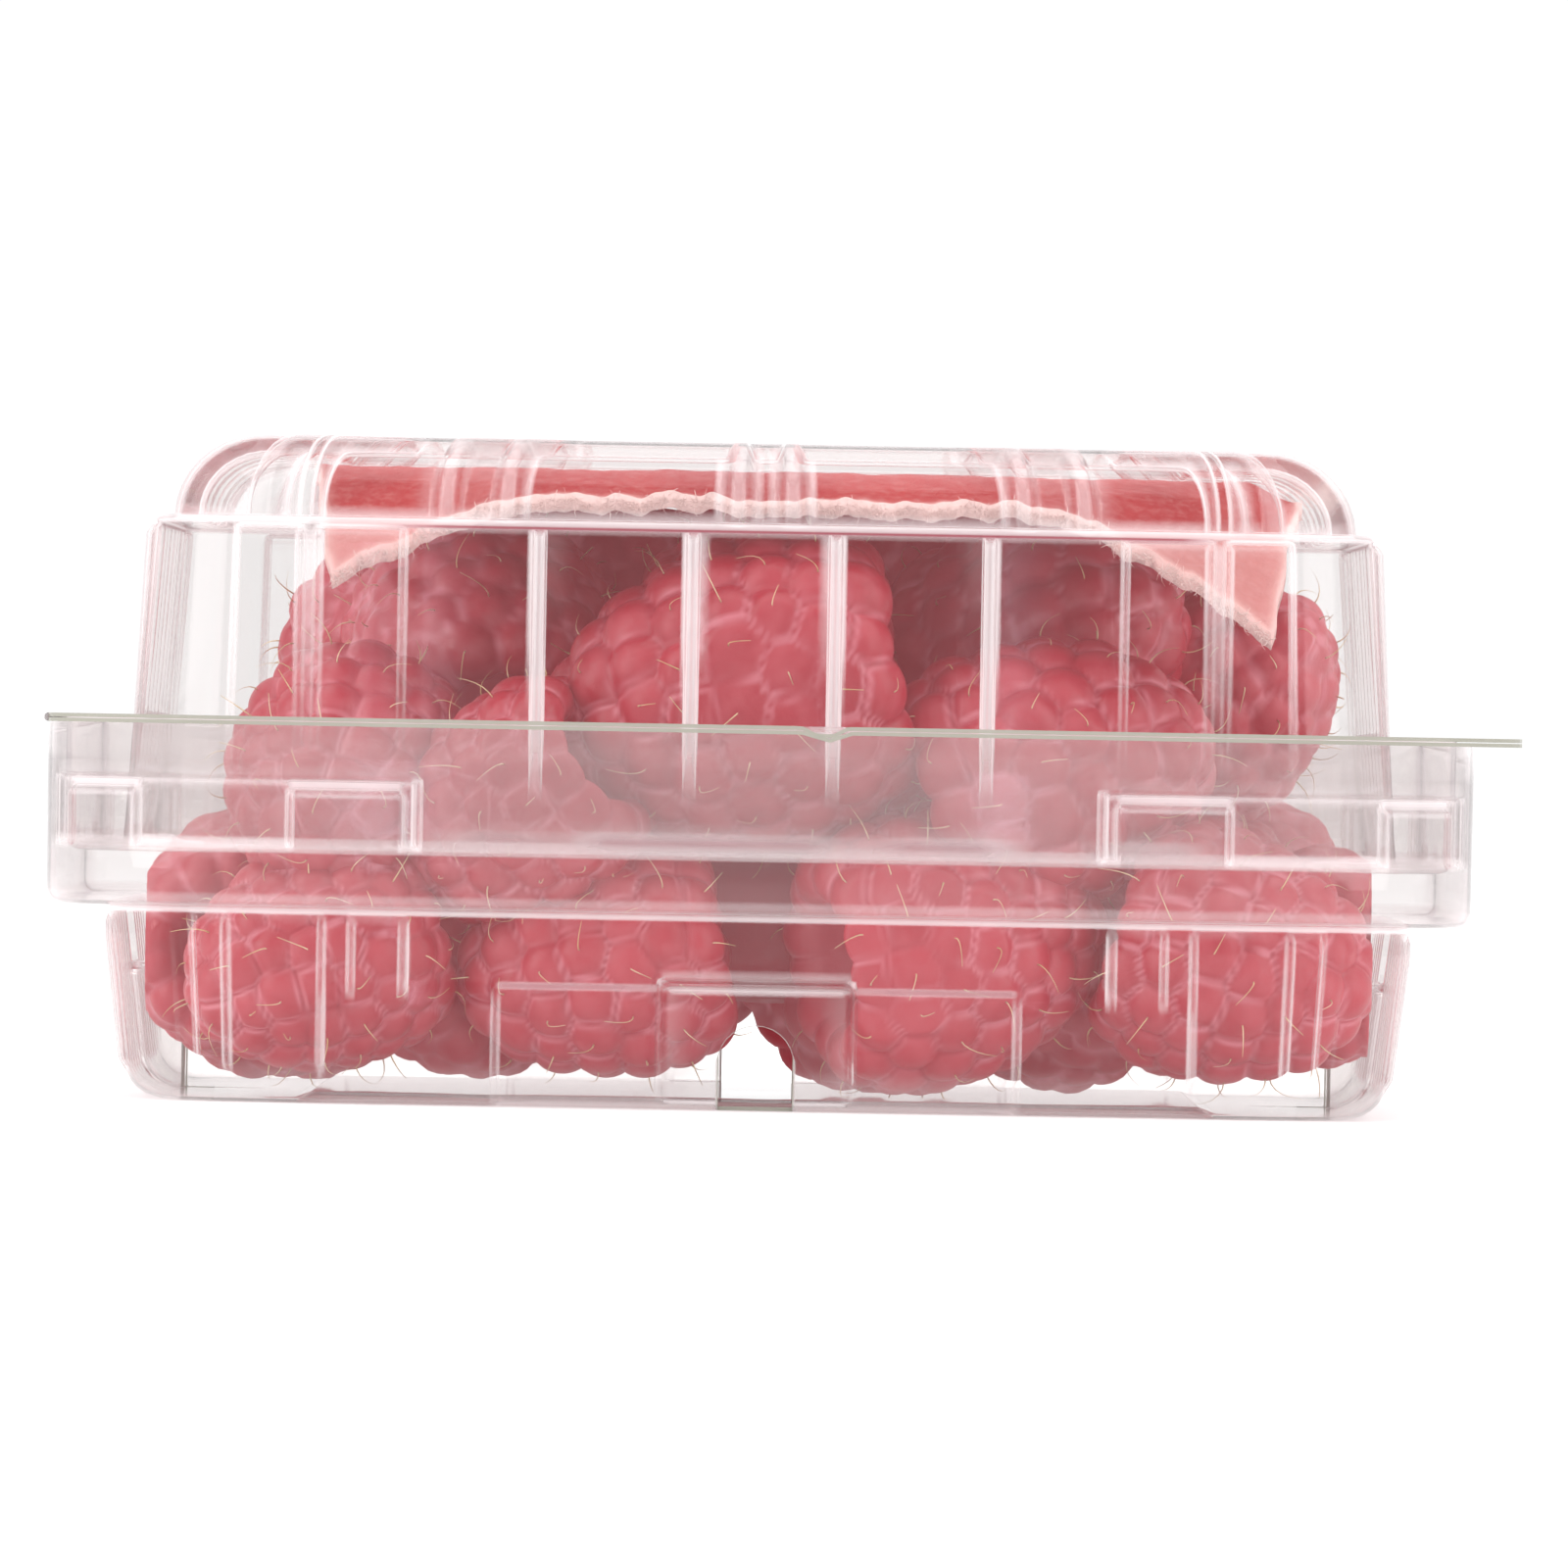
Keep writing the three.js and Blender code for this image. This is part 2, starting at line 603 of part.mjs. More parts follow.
// The bottom layer behind the front row: a grid with small fixed irregularities
function lowerLayer() {
  const berries = [];
  LOWER_ROWS.forEach((y, j) => {
    LOWER_COLUMNS.forEach((x, i) => {
      const swing = (seed) => Math.sin((i * 7 + j * 13 + seed) * 12.9898);
      const squeeze = Math.abs(y) < 5 ? RECESS_SQUEEZE : 1;
      const [shiftX, shiftY] = LOWER_SHIFT;
      const [length, lengthSwing] = LOWER_LENGTH;
      const [width, widthSwing] = LOWER_WIDTH;
      berries.push([
        x * squeeze + shiftX * swing(1), y + shiftY * swing(2), LOWER_Z,
        length + lengthSwing * swing(3), width + widthSwing * swing(4),
        180 + 180 * swing(5), LOWER_TILT * swing(6),
      ]);
    });
  });
  return berries;
}

// Raspberries: every berry that shows, fused over a smaller core
function raspberries() {
  const berries = [...FRONT_BERRIES, ...UPPER_BERRIES, ...lowerLayer()];
  const core = box(...HEAP_CORE);
  return joined([core, ...berries.map(berry)]);
}

const group = new THREE.Group();
group.position.x = (HINGE_REACH - LIP_REACH) / 2;
group.add(namedMesh('lower_shell', lowerShell(), clearPlastic()));
group.add(namedMesh('upper_shell', upperShell(), clearPlastic()));
group.add(namedMesh('absorbent_pad', absorbentPad(), pinkPaper));
group.add(namedMesh('raspberries', raspberries(), berryFlesh));

export default group;
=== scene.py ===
"""Clear hinged punnet of raspberries with an absorbent pad under its top plate."""
import math

import bpy
import numpy as np
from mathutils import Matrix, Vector


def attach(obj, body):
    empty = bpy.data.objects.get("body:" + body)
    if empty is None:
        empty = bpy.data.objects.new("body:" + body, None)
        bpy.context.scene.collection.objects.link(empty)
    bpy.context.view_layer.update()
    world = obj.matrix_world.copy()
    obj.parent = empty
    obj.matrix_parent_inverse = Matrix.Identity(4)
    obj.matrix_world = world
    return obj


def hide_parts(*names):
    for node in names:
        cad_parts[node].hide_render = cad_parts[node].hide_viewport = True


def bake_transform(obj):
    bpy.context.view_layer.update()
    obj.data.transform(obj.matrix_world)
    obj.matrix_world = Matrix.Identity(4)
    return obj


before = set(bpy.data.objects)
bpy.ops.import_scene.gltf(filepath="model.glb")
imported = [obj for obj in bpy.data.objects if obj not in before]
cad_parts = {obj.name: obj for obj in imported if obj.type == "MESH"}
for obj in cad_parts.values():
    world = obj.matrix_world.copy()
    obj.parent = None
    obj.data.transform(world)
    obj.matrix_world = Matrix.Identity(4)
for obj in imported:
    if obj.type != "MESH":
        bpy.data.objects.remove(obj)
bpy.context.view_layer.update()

bl_info = {
    "name": "Punnet of raspberries",
    "version": (1, 0, 0),
    "blender": (4, 5, 0),
    "location": "3D View > Sidebar > Punnet",
    "description": "Builds the clear shells, the berries, the pad and the studio",
    "category": "Object",
}

MM = 0.001

# Sizes in millimetres from the middle of the band, as in the solids. A half is a half width across X at one
# level; the half depth along Y is larger by DEPTH_EXTRA
ROW_SHIFT = -1.55
DEPTH_EXTRA = 12.0
CORE_HALF = 32.0
CORE_DEPTH = 44.0

# The flanges and the hinge between them
HINGE_Z = 25.1
HINGE_REACH = 47.1
HINGE_GAP = 0.03
FLANGE_END = 47.06
LIP_REACH = 50.2
END_REACH = 60.0
FLANGE_CORNER = 16.0
FLANGE_ROWS = (0.35, 0.8, 0.97, 1.0)
DENT_X = 4.2

# The upper shell, from the plate down to its mouth
PLATEAU_Z = 44.0
PLATEAU_HALF = 27.3
PLATEAU_FOOT = 28.4
TOP_Z = 42.9
PLATE_HALF = 30.6
SHOULDER_TOP = 32.8
SHOULDER_BASE = 37.5
STEP_Z = 38.7
STEP_HALF = 40.25
WALL_HALF = 41.3
PLUG_Z = 16.65
PLUG_INNER = 42.05
PLUG_OUTER = 45.6
UPPER_MOUTH = 46.9
BEAD_HALF = 1.1
BEAD_CROWN = 0.45
RIB_CROWN = 0.72
CORNER_ARC = 9.0

# The lower shell, from the floor up to its mouth
FLOOR_Z = 0.4
FOOT_INNER = 36.6
FOOT_OUTER = 38.6
FOOT_ROUND = (3.0, 2.4)
LEDGE_Z = 12.75
LEDGE_INNER = 42.9
LEDGE_OUTER = 45.9
BAND_HALF = 47.0
LOWER_MOUTH = 47.05
FLUTE_ARC = 10.2
FLUTE_HEIGHT = 0.42
FLUTE_LOW, FLUTE_HIGH = 1.6, 12.3
PANEL_HEIGHT = 0.4
PANEL_HIGH = 8.6
SET_BACK = 0.45
SET_BACK_HALF = 16.9
SET_BACK_HIGH = 7.95
FOOT_LIFT = 0.35
BAND_ARC = 15.0
SNAP_DEPTH = 0.55
SNAP_LOW, SNAP_HIGH = 16.55, 21.65
SNAP_BLOCK_HIGH = 20.75
VENT_HALF = 2.5
VENT_SPRING = 3.1
VENT_BAND = 6.8
VENT_MARGIN = 0.16
RECESS_HALF = 6.1
RECESS_TOP = 8.3
RECESS_FACE = 38.75

# Pressed shapes, as arc distances from the middle of a short or a long side
SHORT_BEADS = (1.8, 17.0, 21.0, 30.2, 33.1)
LONG_BEADS = (1.8, 15.5, 19.5, 33.0, 37.0, 44.5)
SHORT_RIBS = (4.7, 14.8)
LONG_RIBS = (5.0, 15.0, 25.0)
SHORT_PANELS = ((23.7, 29.4), (30.4, 34.9))
LONG_PANELS = ((33.8, 39.2), (40.8, 46.2))
SHORT_FLUTES = ((23.2, 26.7), (28.6, 32.7), (34.8, 37.1), (39.6, 42.4))
LONG_FLUTES = (
    (10.0, 13.6), (16.0, 19.6), (22.0, 25.6), (28.0, 31.6), (34.0, 37.6), (40.0, 43.6), (46.4, 50.0),
)
FOOT_PANEL = (17.1, 28.3)
SNAP_BLOCKS = ((23.6, 30.8), (41.7, 49.0))
SNAP_SPAN = (22.4, 50.8)

# Berries: x, y, z, length, width, tip azimuth, tip elevation
FRONT_BERRIES = (
    (-29.4, -43.0, 9.5, 18.0, 16.0, 200, -20),
    (-10.4, -41.8, 9.4, 19.0, 16.0, 180, -10),
    (12.7, -42.2, 11.0, 21.0, 19.0, 20, 10),
    (31.6, -42.0, 10.4, 19.0, 17.5, 0, -15),
    (-27.6, -40.5, 20.8, 19.0, 17.0, 255, -30),
    (-16.4, -43.6, 19.4, 18.5, 15.6, 150, -30),
    (-1.7, -41.4, 27.2, 25.0, 21.5, 180, -12),
    (19.4, -40.0, 22.6, 22.0, 19.0, 10, 15),
)
UPPER_BERRIES = (
    (-18.5, -24.0, 30.6, 21.5, 19.0, 100, 40),
    (1.0, -21.5, 30.0, 22.0, 19.5, 60, 5),
    (18.5, -25.5, 30.6, 21.5, 19.0, 330, 20),
    (30.2, -21.0, 27.6, 19.0, 16.5, 330, 35),
    (-24.2, 1.2, 29.2, 21.0, 18.5, 250, 20),
    (-7.5, -2.0, 30.2, 22.0, 19.5, 15, -10),
    (11.5, -5.0, 30.2, 21.5, 19.0, 130, 15),
    (28.6, -1.5, 28.6, 20.0, 18.0, 100, 10),
    (-20.5, 22.0, 29.4, 21.5, 19.0, 300, -15),
    (0.5, 19.0, 30.2, 22.0, 19.5, 200, 20),
    (20.5, 17.0, 29.6, 21.0, 19.0, 80, 25),
    (-10.5, 42.0, 26.6, 21.0, 18.5, 170, 10),
    (13.0, 41.5, 27.2, 21.5, 19.0, 40, -20),
)
# Berries that fill the middle between the others
FILLERS = (
    (-20.2, -31.0, 10.4, 19.0, 17.0, 120, 10),
    (21.6, -31.0, 10.4, 19.0, 17.0, 300, 15),
    (37.0, -30.5, 11.0, 16.0, 15.0, 95, 10),
    (-34.5, -29.5, 10.6, 17.0, 15.5, 85, 5),
    (-9.5, -12.5, 31.9, 20.0, 18.2, 40, 10),
    (8.8, -13.5, 32.0, 20.0, 18.2, 140, -10),
    (22.5, -12.0, 31.4, 19.0, 17.6, 60, 0),
    (-15.0, 9.5, 31.9, 20.0, 18.2, 320, 10),
    (2.2, 8.0, 32.0, 20.0, 18.2, 80, 5),
    (17.0, 6.5, 31.9, 20.0, 18.0, 10, -5),
    (-3.0, -9.0, 32.4, 18.0, 17.2, 200, 5),
    (14.8, -14.5, 32.4, 18.0, 17.2, 75, 5),
    (-20.6, -7.0, 30.9, 18.0, 16.8, 250, -5),
)
# The bottom layer behind the front row
LOWER_LEVEL = 11.2
LOWER_COLUMNS = (-30.2, -10.0, 10.4, 30.4)
LOWER_ROWS = (-21.6, -0.6, 20.2, 40.6)

# A drupelet's ball as a share of the berry's mean size, and then as shares of that ball: its own radius, how
# far its centre is under the surface, the steps between rings and along a ring, the least height left
# between drupelets, and the widths and places of the groove and of the pale line beside it
DRUPELET = 0.101
BALL_RADIUS, BALL_DEPTH = 1.32, 0.98
RING_STEP, BALL_STEP = 1.55, 1.72
GROOVE_FLOOR, GROOVE_WIDTH, GROOVE_CUT = -0.25, 0.14, 0.05
RIM_PLACE, RIM_WIDTH = 0.11, 0.075

# How far along its outline a berry's drupelets end and its hollow begins, and the first seed of its draws
DRUPELETS_END, HOLLOW_START = 0.66, 0.68
BERRY_SEED = 700

# How far the berries reach before the walls press them flat: front and back, the sides over and under the
# level where the upper shell's wall begins to lean in, and the floor
BERRY_DEPTH = 50.4
BERRY_HALF_HIGH, BERRY_HALF_LOW, BERRY_LEAN = 39.7, 40.6, 24
BERRY_FLOOR = 0.95

# The pad's edges, where its hanging corners begin and how far they hang
PAD_LEFT, PAD_RIGHT, PAD_FRONT, PAD_BACK = -29.8, 35.4, -47.9, 45.5
PAD_LEFT_FOLD, PAD_RIGHT_FOLD, PAD_FRONT_FOLD = -15.2, 15.6, -36.0
PAD_LEFT_DROP, PAD_RIGHT_DROP = 5.2, 8.2
PAD_TOP = 42.15
PAD_THICK = 0.9

# The camera against the photo: the photo's side in pixels, the pixels where the band's middle and the hinge's
# level are, the pixels of one millimetre at the near face, how far that face is in front of the middle, the
# photo's turn in degrees and the width of the sensor
PHOTO_SIDE = 1600
BAND_PIXEL_X = 777
HINGE_PIXEL_Y = 745
PIXELS_PER_MM = 15.6
NEAR_FACE = 59.5
PHOTO_TURN = -1.05
SENSOR = 36.0


# Meshes

def put_mesh(name, points, faces, floats=None, flat_from=None):
    """A mesh object at the origin from points in millimetres. Named numbers or colours are kept on its
    points, and its faces are smooth up to the one that flat_from counts."""
    mesh = bpy.data.meshes.new(name)
    mesh.from_pydata((points * MM).tolist(), [], faces)
    mesh.validate()
    mesh.shade_smooth()
    if flat_from is not None:
        flat = np.zeros(len(mesh.polygons), bool)
        flat[flat_from:] = True
        mesh.attributes.new("sharp_face", "BOOLEAN", "FACE").data.foreach_set("value", flat)
    for key, values in (floats or {}).items():
        kind, field = ("FLOAT_VECTOR", "vector") if np.ndim(values) == 2 else ("FLOAT", "value")
        layer = mesh.attributes.new(key, kind, "POINT")
        layer.data.foreach_set(field, np.asarray(values, np.float32).ravel())
    mesh.update()
    piece = bpy.data.objects.new(name, mesh)
    bpy.context.scene.collection.objects.link(piece)
    return piece


def smooth(t):
    """Smooth step from 0 to 1 over t = 0 to 1."""
    t = np.clip(t, 0, 1)
    return t * t * (3 - 2 * t)


def ripple(x, y, seed, size, waves=9):
    """Sum of sine waves in seeded directions, about -1 to 1, with features of the given size."""
    draw = np.random.default_rng(seed)
    total = np.zeros(np.broadcast(x, y).shape)
    for turn, phase, scale in zip(draw.uniform(0, math.tau, waves), draw.uniform(0, math.tau, waves),
                                  draw.uniform(0.6, 1.7, waves)):
        total += np.sin((x * math.cos(turn) + y * math.sin(turn)) * math.tau / (size * scale) + phase)
    return total / math.sqrt(waves)


def rounded(corners, steps=4):
    """A profile through corner points (half width, level, radius), each corner turned by an arc that
    touches both of its legs at radius times the tangent of half the turn from the corner."""
    points = []
    for i, (h, z, radius) in enumerate(corners):
        here = np.array([h, z])
        if radius == 0 or i in (0, len(corners) - 1):
            points.append(here)
            continue
        back = np.array(corners[i - 1][:2]) - here
        ahead = np.array(corners[i + 1][:2]) - here
        back /= np.linalg.norm(back)
        ahead /= np.linalg.norm(ahead)
        opening = math.acos(np.clip(back @ ahead, -1, 1))
        reach = radius / math.tan(opening / 2)
        middle = here + (back + ahead) / np.linalg.norm(back + ahead) * radius / math.sin(opening / 2)
        start = here + back * reach - middle
        end = here + ahead * reach - middle
        turn = math.pi - opening
        for k in range(steps + 1):
            t = k / steps
            arm = start * math.sin((1 - t) * turn) + end * math.sin(t * turn)
            points.append(middle + arm / math.sin(turn))
    return np.array(points)


def with_levels(profile, low, high, levels):
    """The profile with added rows at the given levels, on its legs between the levels low and high."""
    tiny, clear = 1e-6, 0.04
    out = []
    for a, b in zip(profile[:-1], profile[1:]):
        out.append(a)
        z0, z1 = a[1], b[1]
        bottom, top = min(z0, z1), max(z0, z1)
        if top - bottom > tiny and bottom >= low - tiny and top <= high + tiny:
            inside = [z for z in levels if bottom + clear < z < top - clear]
            for z in sorted(inside, reverse=bool(z1 < z0)):
                out.append(a + (b - a) * (z - z0) / (z1 - z0))
    out.append(profile[-1])
    return np.array(out)


# Columns round the punnet

def near(centre, half=1.05):
    """Columns over one bead: beyond its feet, at its feet, on its flanks and at the edges of its crown."""
    return [centre + half * part for part in (-1.3, -1, -0.7, -0.4, 0.4, 0.7, 1, 1.3)]


def bar(centre, half=0.48):
    """Columns over one narrow rib: close together over both flanks, so that its crown stays clear."""
    return [centre + half * part for part in (-1.15, -1, -0.85, -0.7, -0.55, 0.55, 0.7, 0.85, 1, 1.15)]


def edge(place, half=0.24):
    """Columns over one soft step: at its middle, near its ends and beyond them."""
    return [place + half * part for part in (-1.6, -0.95, 0, 0.95, 1.6)]


def over(makers):
    """All columns of a list of pairs, each a maker of columns and the places it is used at."""
    return [value for maker, places in makers for place in places for value in maker(place)]


def both_ends(spans):
    """Both ends of every span, as one list."""
    return [end for span in spans for end in span]


def columns(front, corner, side):
    """Columns over the whole rim, anticlockwise from the middle of the front. Each has a run (0 short side,
    1 corner, 2 long side), its distance or angle on it, and the signs of its quarter."""
    def tidy(values, top, least):
        values = np.unique(np.clip(np.array([0.0, top, *values]), 0, top))
        keep = [values[0]]
        for value in values[1:-1]:
            if value - keep[-1] >= least and top - value >= least:
                keep.append(value)
        return np.array([*keep, values[-1]])
    front = tidy(front, CORE_HALF, 0.07)
    corner = tidy(corner, math.pi / 2, 0.004)
    side = tidy(side, CORE_DEPTH, 0.07)
    quarter = np.concatenate([
        np.column_stack([np.zeros(len(front)), front]),
        np.column_stack([np.ones(len(corner) - 2), corner[1:-1]]),
        np.column_stack([np.full(len(side), 2), side[::-1]]),
    ])
    back = quarter[::-1]
    ring = []
    for part, sx, sy in ((quarter, 1, -1), (back, 1, 1), (quarter, -1, 1), (back, -1, -1)):
        signs = np.tile([sx, sy], (len(part) - 1, 1))
        ring.append(np.column_stack([part[:-1], signs]))
    return np.concatenate(ring)


def ring_points(cols, half, depth, radius):
    """Each row's ring of points: a rounded rectangle of half width, half depth and corner radius, with the
    columns of the straight runs spread in proportion. half, depth and radius hold one number a row, or
    for half one a row and quarter side. Returns x, y and the outward direction."""
    run, place, sx, sy = cols.T
    half = np.where(sx > 0, half[0][:, None], half[1][:, None])
    depth = depth[:, None]
    radius = radius[:, None]
    across = half - radius
    along = depth - radius
    sin = np.where(run == 1, np.sin(place), np.where(run == 2, 1.0, 0.0))
    cos = np.where(run == 1, np.cos(place), np.where(run == 0, 1.0, 0.0))
    x = np.where(run == 0, place / CORE_HALF * across, np.where(run == 1, across + radius * sin, half))
    y = np.where(run == 2, place / CORE_DEPTH * along, np.where(run == 1, along + radius * cos, depth))
    ones = np.ones_like(x)
    return x * sx, y * sy, sin * sx * ones, cos * sy * ones


def measured(cols, radius):
    """Arc distance of each column from the middle of its short side, and from the middle of its long side,
    with the corner's arc at the given radius. Far away stands for the other side."""
    run, place = cols[:, 0], cols[:, 1]
    short = np.where(run == 0, place, np.where(run == 1, CORE_HALF + radius * place, 99.0))
    long = np.where(run == 2, place, np.where(run == 1, CORE_DEPTH + radius * (math.pi / 2 - place), 99.0))
    return short, long


def ridge(distance, crown):
    """Pressed bar: 1 over the middle share called crown, and down to 0 at distance 1 over soft flanks."""
    return smooth((1 - np.abs(distance)) / (1 - crown))


def between(s, low, high, soft=0.24):
    """1 between two edges and 0 outside them, over a soft flank."""
    return smooth((s - low + soft) / (2 * soft)) * smooth((high + soft - s) / (2 * soft))


def pressed(short, long, short_places, long_places, shape):
    """The highest of one pressed shape at all its places on the short and the long sides. shape takes the
    arc distances and one place, which is a bar's middle or a span."""
    return np.max([shape(short, place) for place in short_places]
                  + [shape(long, place) for place in long_places], 0)


def line_at(z, level, width):
    """A soft line round the wall: 1 at its level and next to nothing two widths away."""
    return np.exp(-((z - level) / width) ** 2)


def corners_round(grid):
    """The corners of each face of a grid that closes on itself from column to column: here, a row on, a row
    and a column on, and a column on."""
    here, below = grid[:-1], grid[1:]
    return here, below, np.roll(below, -1, 1), np.roll(here, -1, 1)


def grid_normals(points):
    """Normals of a grid that closes on itself from column to column: row step cross column step."""
    down = np.gradient(points, axis=0)
    step = np.roll(points, -1, axis=1) - np.roll(points, 1, axis=1)
    normal = np.cross(down, step)
    return normal / np.maximum(np.linalg.norm(normal, axis=2, keepdims=True), 1e-9)


def bend_of(points, normals):
    """How sharply a grid turns at each point, in radians per millimetre: the larger of the change of its
    normal over the rows and over the columns."""
    def rate(a, b, p, q):
        span = np.maximum(np.linalg.norm(q - p, axis=2), 0.12)
        return np.linalg.norm(b - a, axis=2) / span
    up = np.concatenate([normals[:1], normals[:-1]])
    low = np.concatenate([normals[1:], normals[-1:]])
    up_p = np.concatenate([points[:1], points[:-1]])
    low_p = np.concatenate([points[1:], points[-1:]])
    rows = rate(up, low, up_p, low_p)
    back, ahead = np.roll(normals, 1, 1), np.roll(normals, -1, 1)
    cols = rate(back, ahead, np.roll(points, 1, 1), np.roll(points, -1, 1))
    return np.maximum(rows, cols)


def sheet_numbers(look, fold, milky, cut, tinge):
    """What the clear sheet's finish reads at each point. Its milky share adds up a painted highlight where
    the sheet is folded, a painted reflection in the band, the haze, the cut edge and a dark red tinge painted
    where berries lie behind. Its tint goes from the sheet's colour to the tinge's and to the cut edge's."""
    cut_share, tinge_share = 0.9, 0.7
    # Painted highlight: the sheet whitens where it bends sharply, in place of the light that its folds bend
    # and reflect
    folded = np.clip((fold * (1 - cut) - look.fold_highlight_start) / (look.fold_highlight_full - look.fold_highlight_start), 0, 1)
    # Painted reflection: the band's milky share stands in for the white surround reflected by its stacked
    # layers
    veil_and_glint = folded * look.fold_highlight * (1 - tinge) + milky * look.band_painted_reflection + look.haze
    # A dark red tinge is painted where berries lie behind the sheet
    veil_and_glint = veil_and_glint + cut_share * cut + tinge_share * tinge
    tint = np.outer(1 - tinge, look.sheet_colour) + np.outer(tinge, look.tinge_colour)
    tint = tint * (1 - cut[:, None]) + np.outer(cut, look.edge_colour)
    return {"veil_and_glint": np.clip(veil_and_glint, 0, 1), "tint": tint}


def both_sides(values, pole=0.0):
    """One number for each point of a grid, for both sides of its sheet and for the two poles."""
    return np.concatenate([values.ravel(), values.ravel(), [pole, pole]])


def sheet_mesh(name, outer, look, milky, tinge, inside_out=False, keep=None):
    """A closed sheet over a grid of rows and columns that starts round a pole: the outer grid, the same grid
    moved inwards along its normals by the sheet's thickness, and a narrow flat face along every free edge.
    keep says which faces of the grid are there, and inside_out that the grid runs up the other way."""
    rows, cols = outer.shape[:2]
    normals = grid_normals(outer) * (-1 if inside_out else 1)
    inner = outer - normals * look.sheet
    bend = bend_of(outer, normals)
    count = rows * cols
    grid = np.arange(count).reshape(rows, cols)
    a, b, b2, a2 = corners_round(grid)
    keep = np.ones(a.shape, bool) if keep is None else keep
    skin = np.stack([a, b, b2, a2], -1)[keep]
    free = [
        (a, b, np.roll(keep, 1, 1)),
        (b, b2, np.concatenate([keep[1:], np.zeros((1, cols), bool)])),
        (b2, a2, np.roll(keep, -1, 1)),
        (a2, a, np.concatenate([np.ones((1, cols), bool), keep[:-1]])),
    ]
    rims = []
    for p, q, beside in free:
        lone = keep & ~beside
        rims.append(np.stack([q[lone], p[lone], p[lone] + count, q[lone] + count], -1))
    rims = np.concatenate(rims)
    under = skin[:, ::-1] + count
    poles = [2 * count, 2 * count + 1]
    first, after = grid[0], np.roll(grid[0], -1)
    fan = np.stack([np.full(cols, poles[0]), first, after], -1)
    fan_under = np.stack([np.full(cols, poles[1]), after + count, first + count], -1)
    groups = [skin, under, fan, fan_under, rims]
    if inside_out:
        groups = [group[:, ::-1] for group in groups]
    faces = [face for group in groups for face in group.tolist()]
    middle = outer[0].mean(0)
    away = normals[0].mean(0) * look.sheet
    points = np.concatenate([outer.reshape(-1, 3), inner.reshape(-1, 3), [middle, middle - away]])
    flat_from = len(faces) - len(rims)
    cut = np.zeros((rows, cols))
    for ring in (slice(None, -1), slice(1, None)):
        cut[ring][~keep] = 1.0
    cut = np.maximum(cut, np.roll(cut, 1, 1))
    cut[-1] = 1.0
    numbers = sheet_numbers(look, both_sides(bend), both_sides(milky, milky[0, 0]), both_sides(cut),
                            both_sides(tinge))
    return put_mesh(name, points + [ROW_SHIFT, 0, 0], faces, numbers, flat_from)


# The clear shells

def corner_radius(half):
    """Corner radius of a wall ring: a constant core rectangle outside the shoulder, and inside it a small
    radius that follows the plate."""
    plate = np.interp(half, [27.0, SHOULDER_TOP, SHOULDER_BASE], [3.0, 2.6, SHOULDER_BASE - CORE_HALF])
    return np.where(half >= SHOULDER_BASE, half - CORE_HALF, plate)


def upper_columns():
    """Columns of the upper shell: close over its beads, ribs and panels, and a few between them."""
    quarter_turn = math.pi / 2
    shoulder = SHOULDER_BASE - CORE_HALF
    front = over([(near, SHORT_BEADS[:4]), (bar, SHORT_RIBS), (edge, both_ends(SHORT_PANELS)[:3])])
    side = over([(near, LONG_BEADS[:5]), (bar, LONG_RIBS), (edge, both_ends(LONG_PANELS)[:3])])
    front_bead = np.array(near(SHORT_BEADS[4] - CORE_HALF)) / shoulder
    side_bead = np.array(near(LONG_BEADS[5] - CORE_DEPTH)) / shoulder
    front_panel = np.array(edge(SHORT_PANELS[1][1] - CORE_HALF)) / CORNER_ARC
    side_panel = np.array(edge(LONG_PANELS[1][1] - CORE_DEPTH)) / CORNER_ARC
    corner = [*front_bead, *front_panel, *np.linspace(0.5, 1.3, 6),
              *(quarter_turn - side_bead), *(quarter_turn - side_panel)]
    corner = [angle for angle in corner if 0.02 < angle < quarter_turn - 0.02]
    return columns([2.9, 3.5, 5.5, 10, 12.5, 25.6, 27.4, *front], corner, [9, 12, 29, *side])


def upper_profile(flange_top):
    """The upper shell's profile as rows of half width and level, and the row after its plate, after its
    shoulder and after its step."""
    plate = rounded([
        (24.0, PLATEAU_Z, 0), (PLATEAU_HALF, PLATEAU_Z, 0.5),
        (PLATEAU_FOOT, TOP_Z, 0.5), (PLATE_HALF, TOP_Z, 0),
    ], 2)
    arc = [(SHOULDER_TOP + (SHOULDER_BASE - SHOULDER_TOP) * math.sin(t),
            STEP_Z + (TOP_Z - STEP_Z) * math.cos(t)) for t in np.linspace(0, math.pi / 2, 10)]
    foot = [(SHOULDER_BASE + 0.12, STEP_Z - 0.06), (38.2, STEP_Z - 0.08), (38.8, STEP_Z - 0.08)]
    wall = rounded([
        (39.1, STEP_Z - 0.1, 0), (STEP_HALF, STEP_Z - 0.12, 0.45), (WALL_HALF, HINGE_Z, 6),
        (PLUG_INNER, PLUG_Z, 0.7), (PLUG_OUTER, PLUG_Z, 0.7), (PLUG_OUTER, flange_top, 0.35),
        (UPPER_MOUTH, flange_top, 0),
    ], 3)
    under_step = (38.2, 38.1, 38.0, 37.9, 37.6, 37.3, 36.7)
    down_the_wall = (31.0, 28.0, 22.5, 20.0, 19.0, 18.3, 17.9, 17.5)
    wall = with_levels(wall, 16, 38.5, under_step + down_the_wall)
    arc_end = len(plate) + len(arc)
    return np.concatenate([plate, arc, foot, wall]), (len(plate), arc_end, arc_end + len(foot))


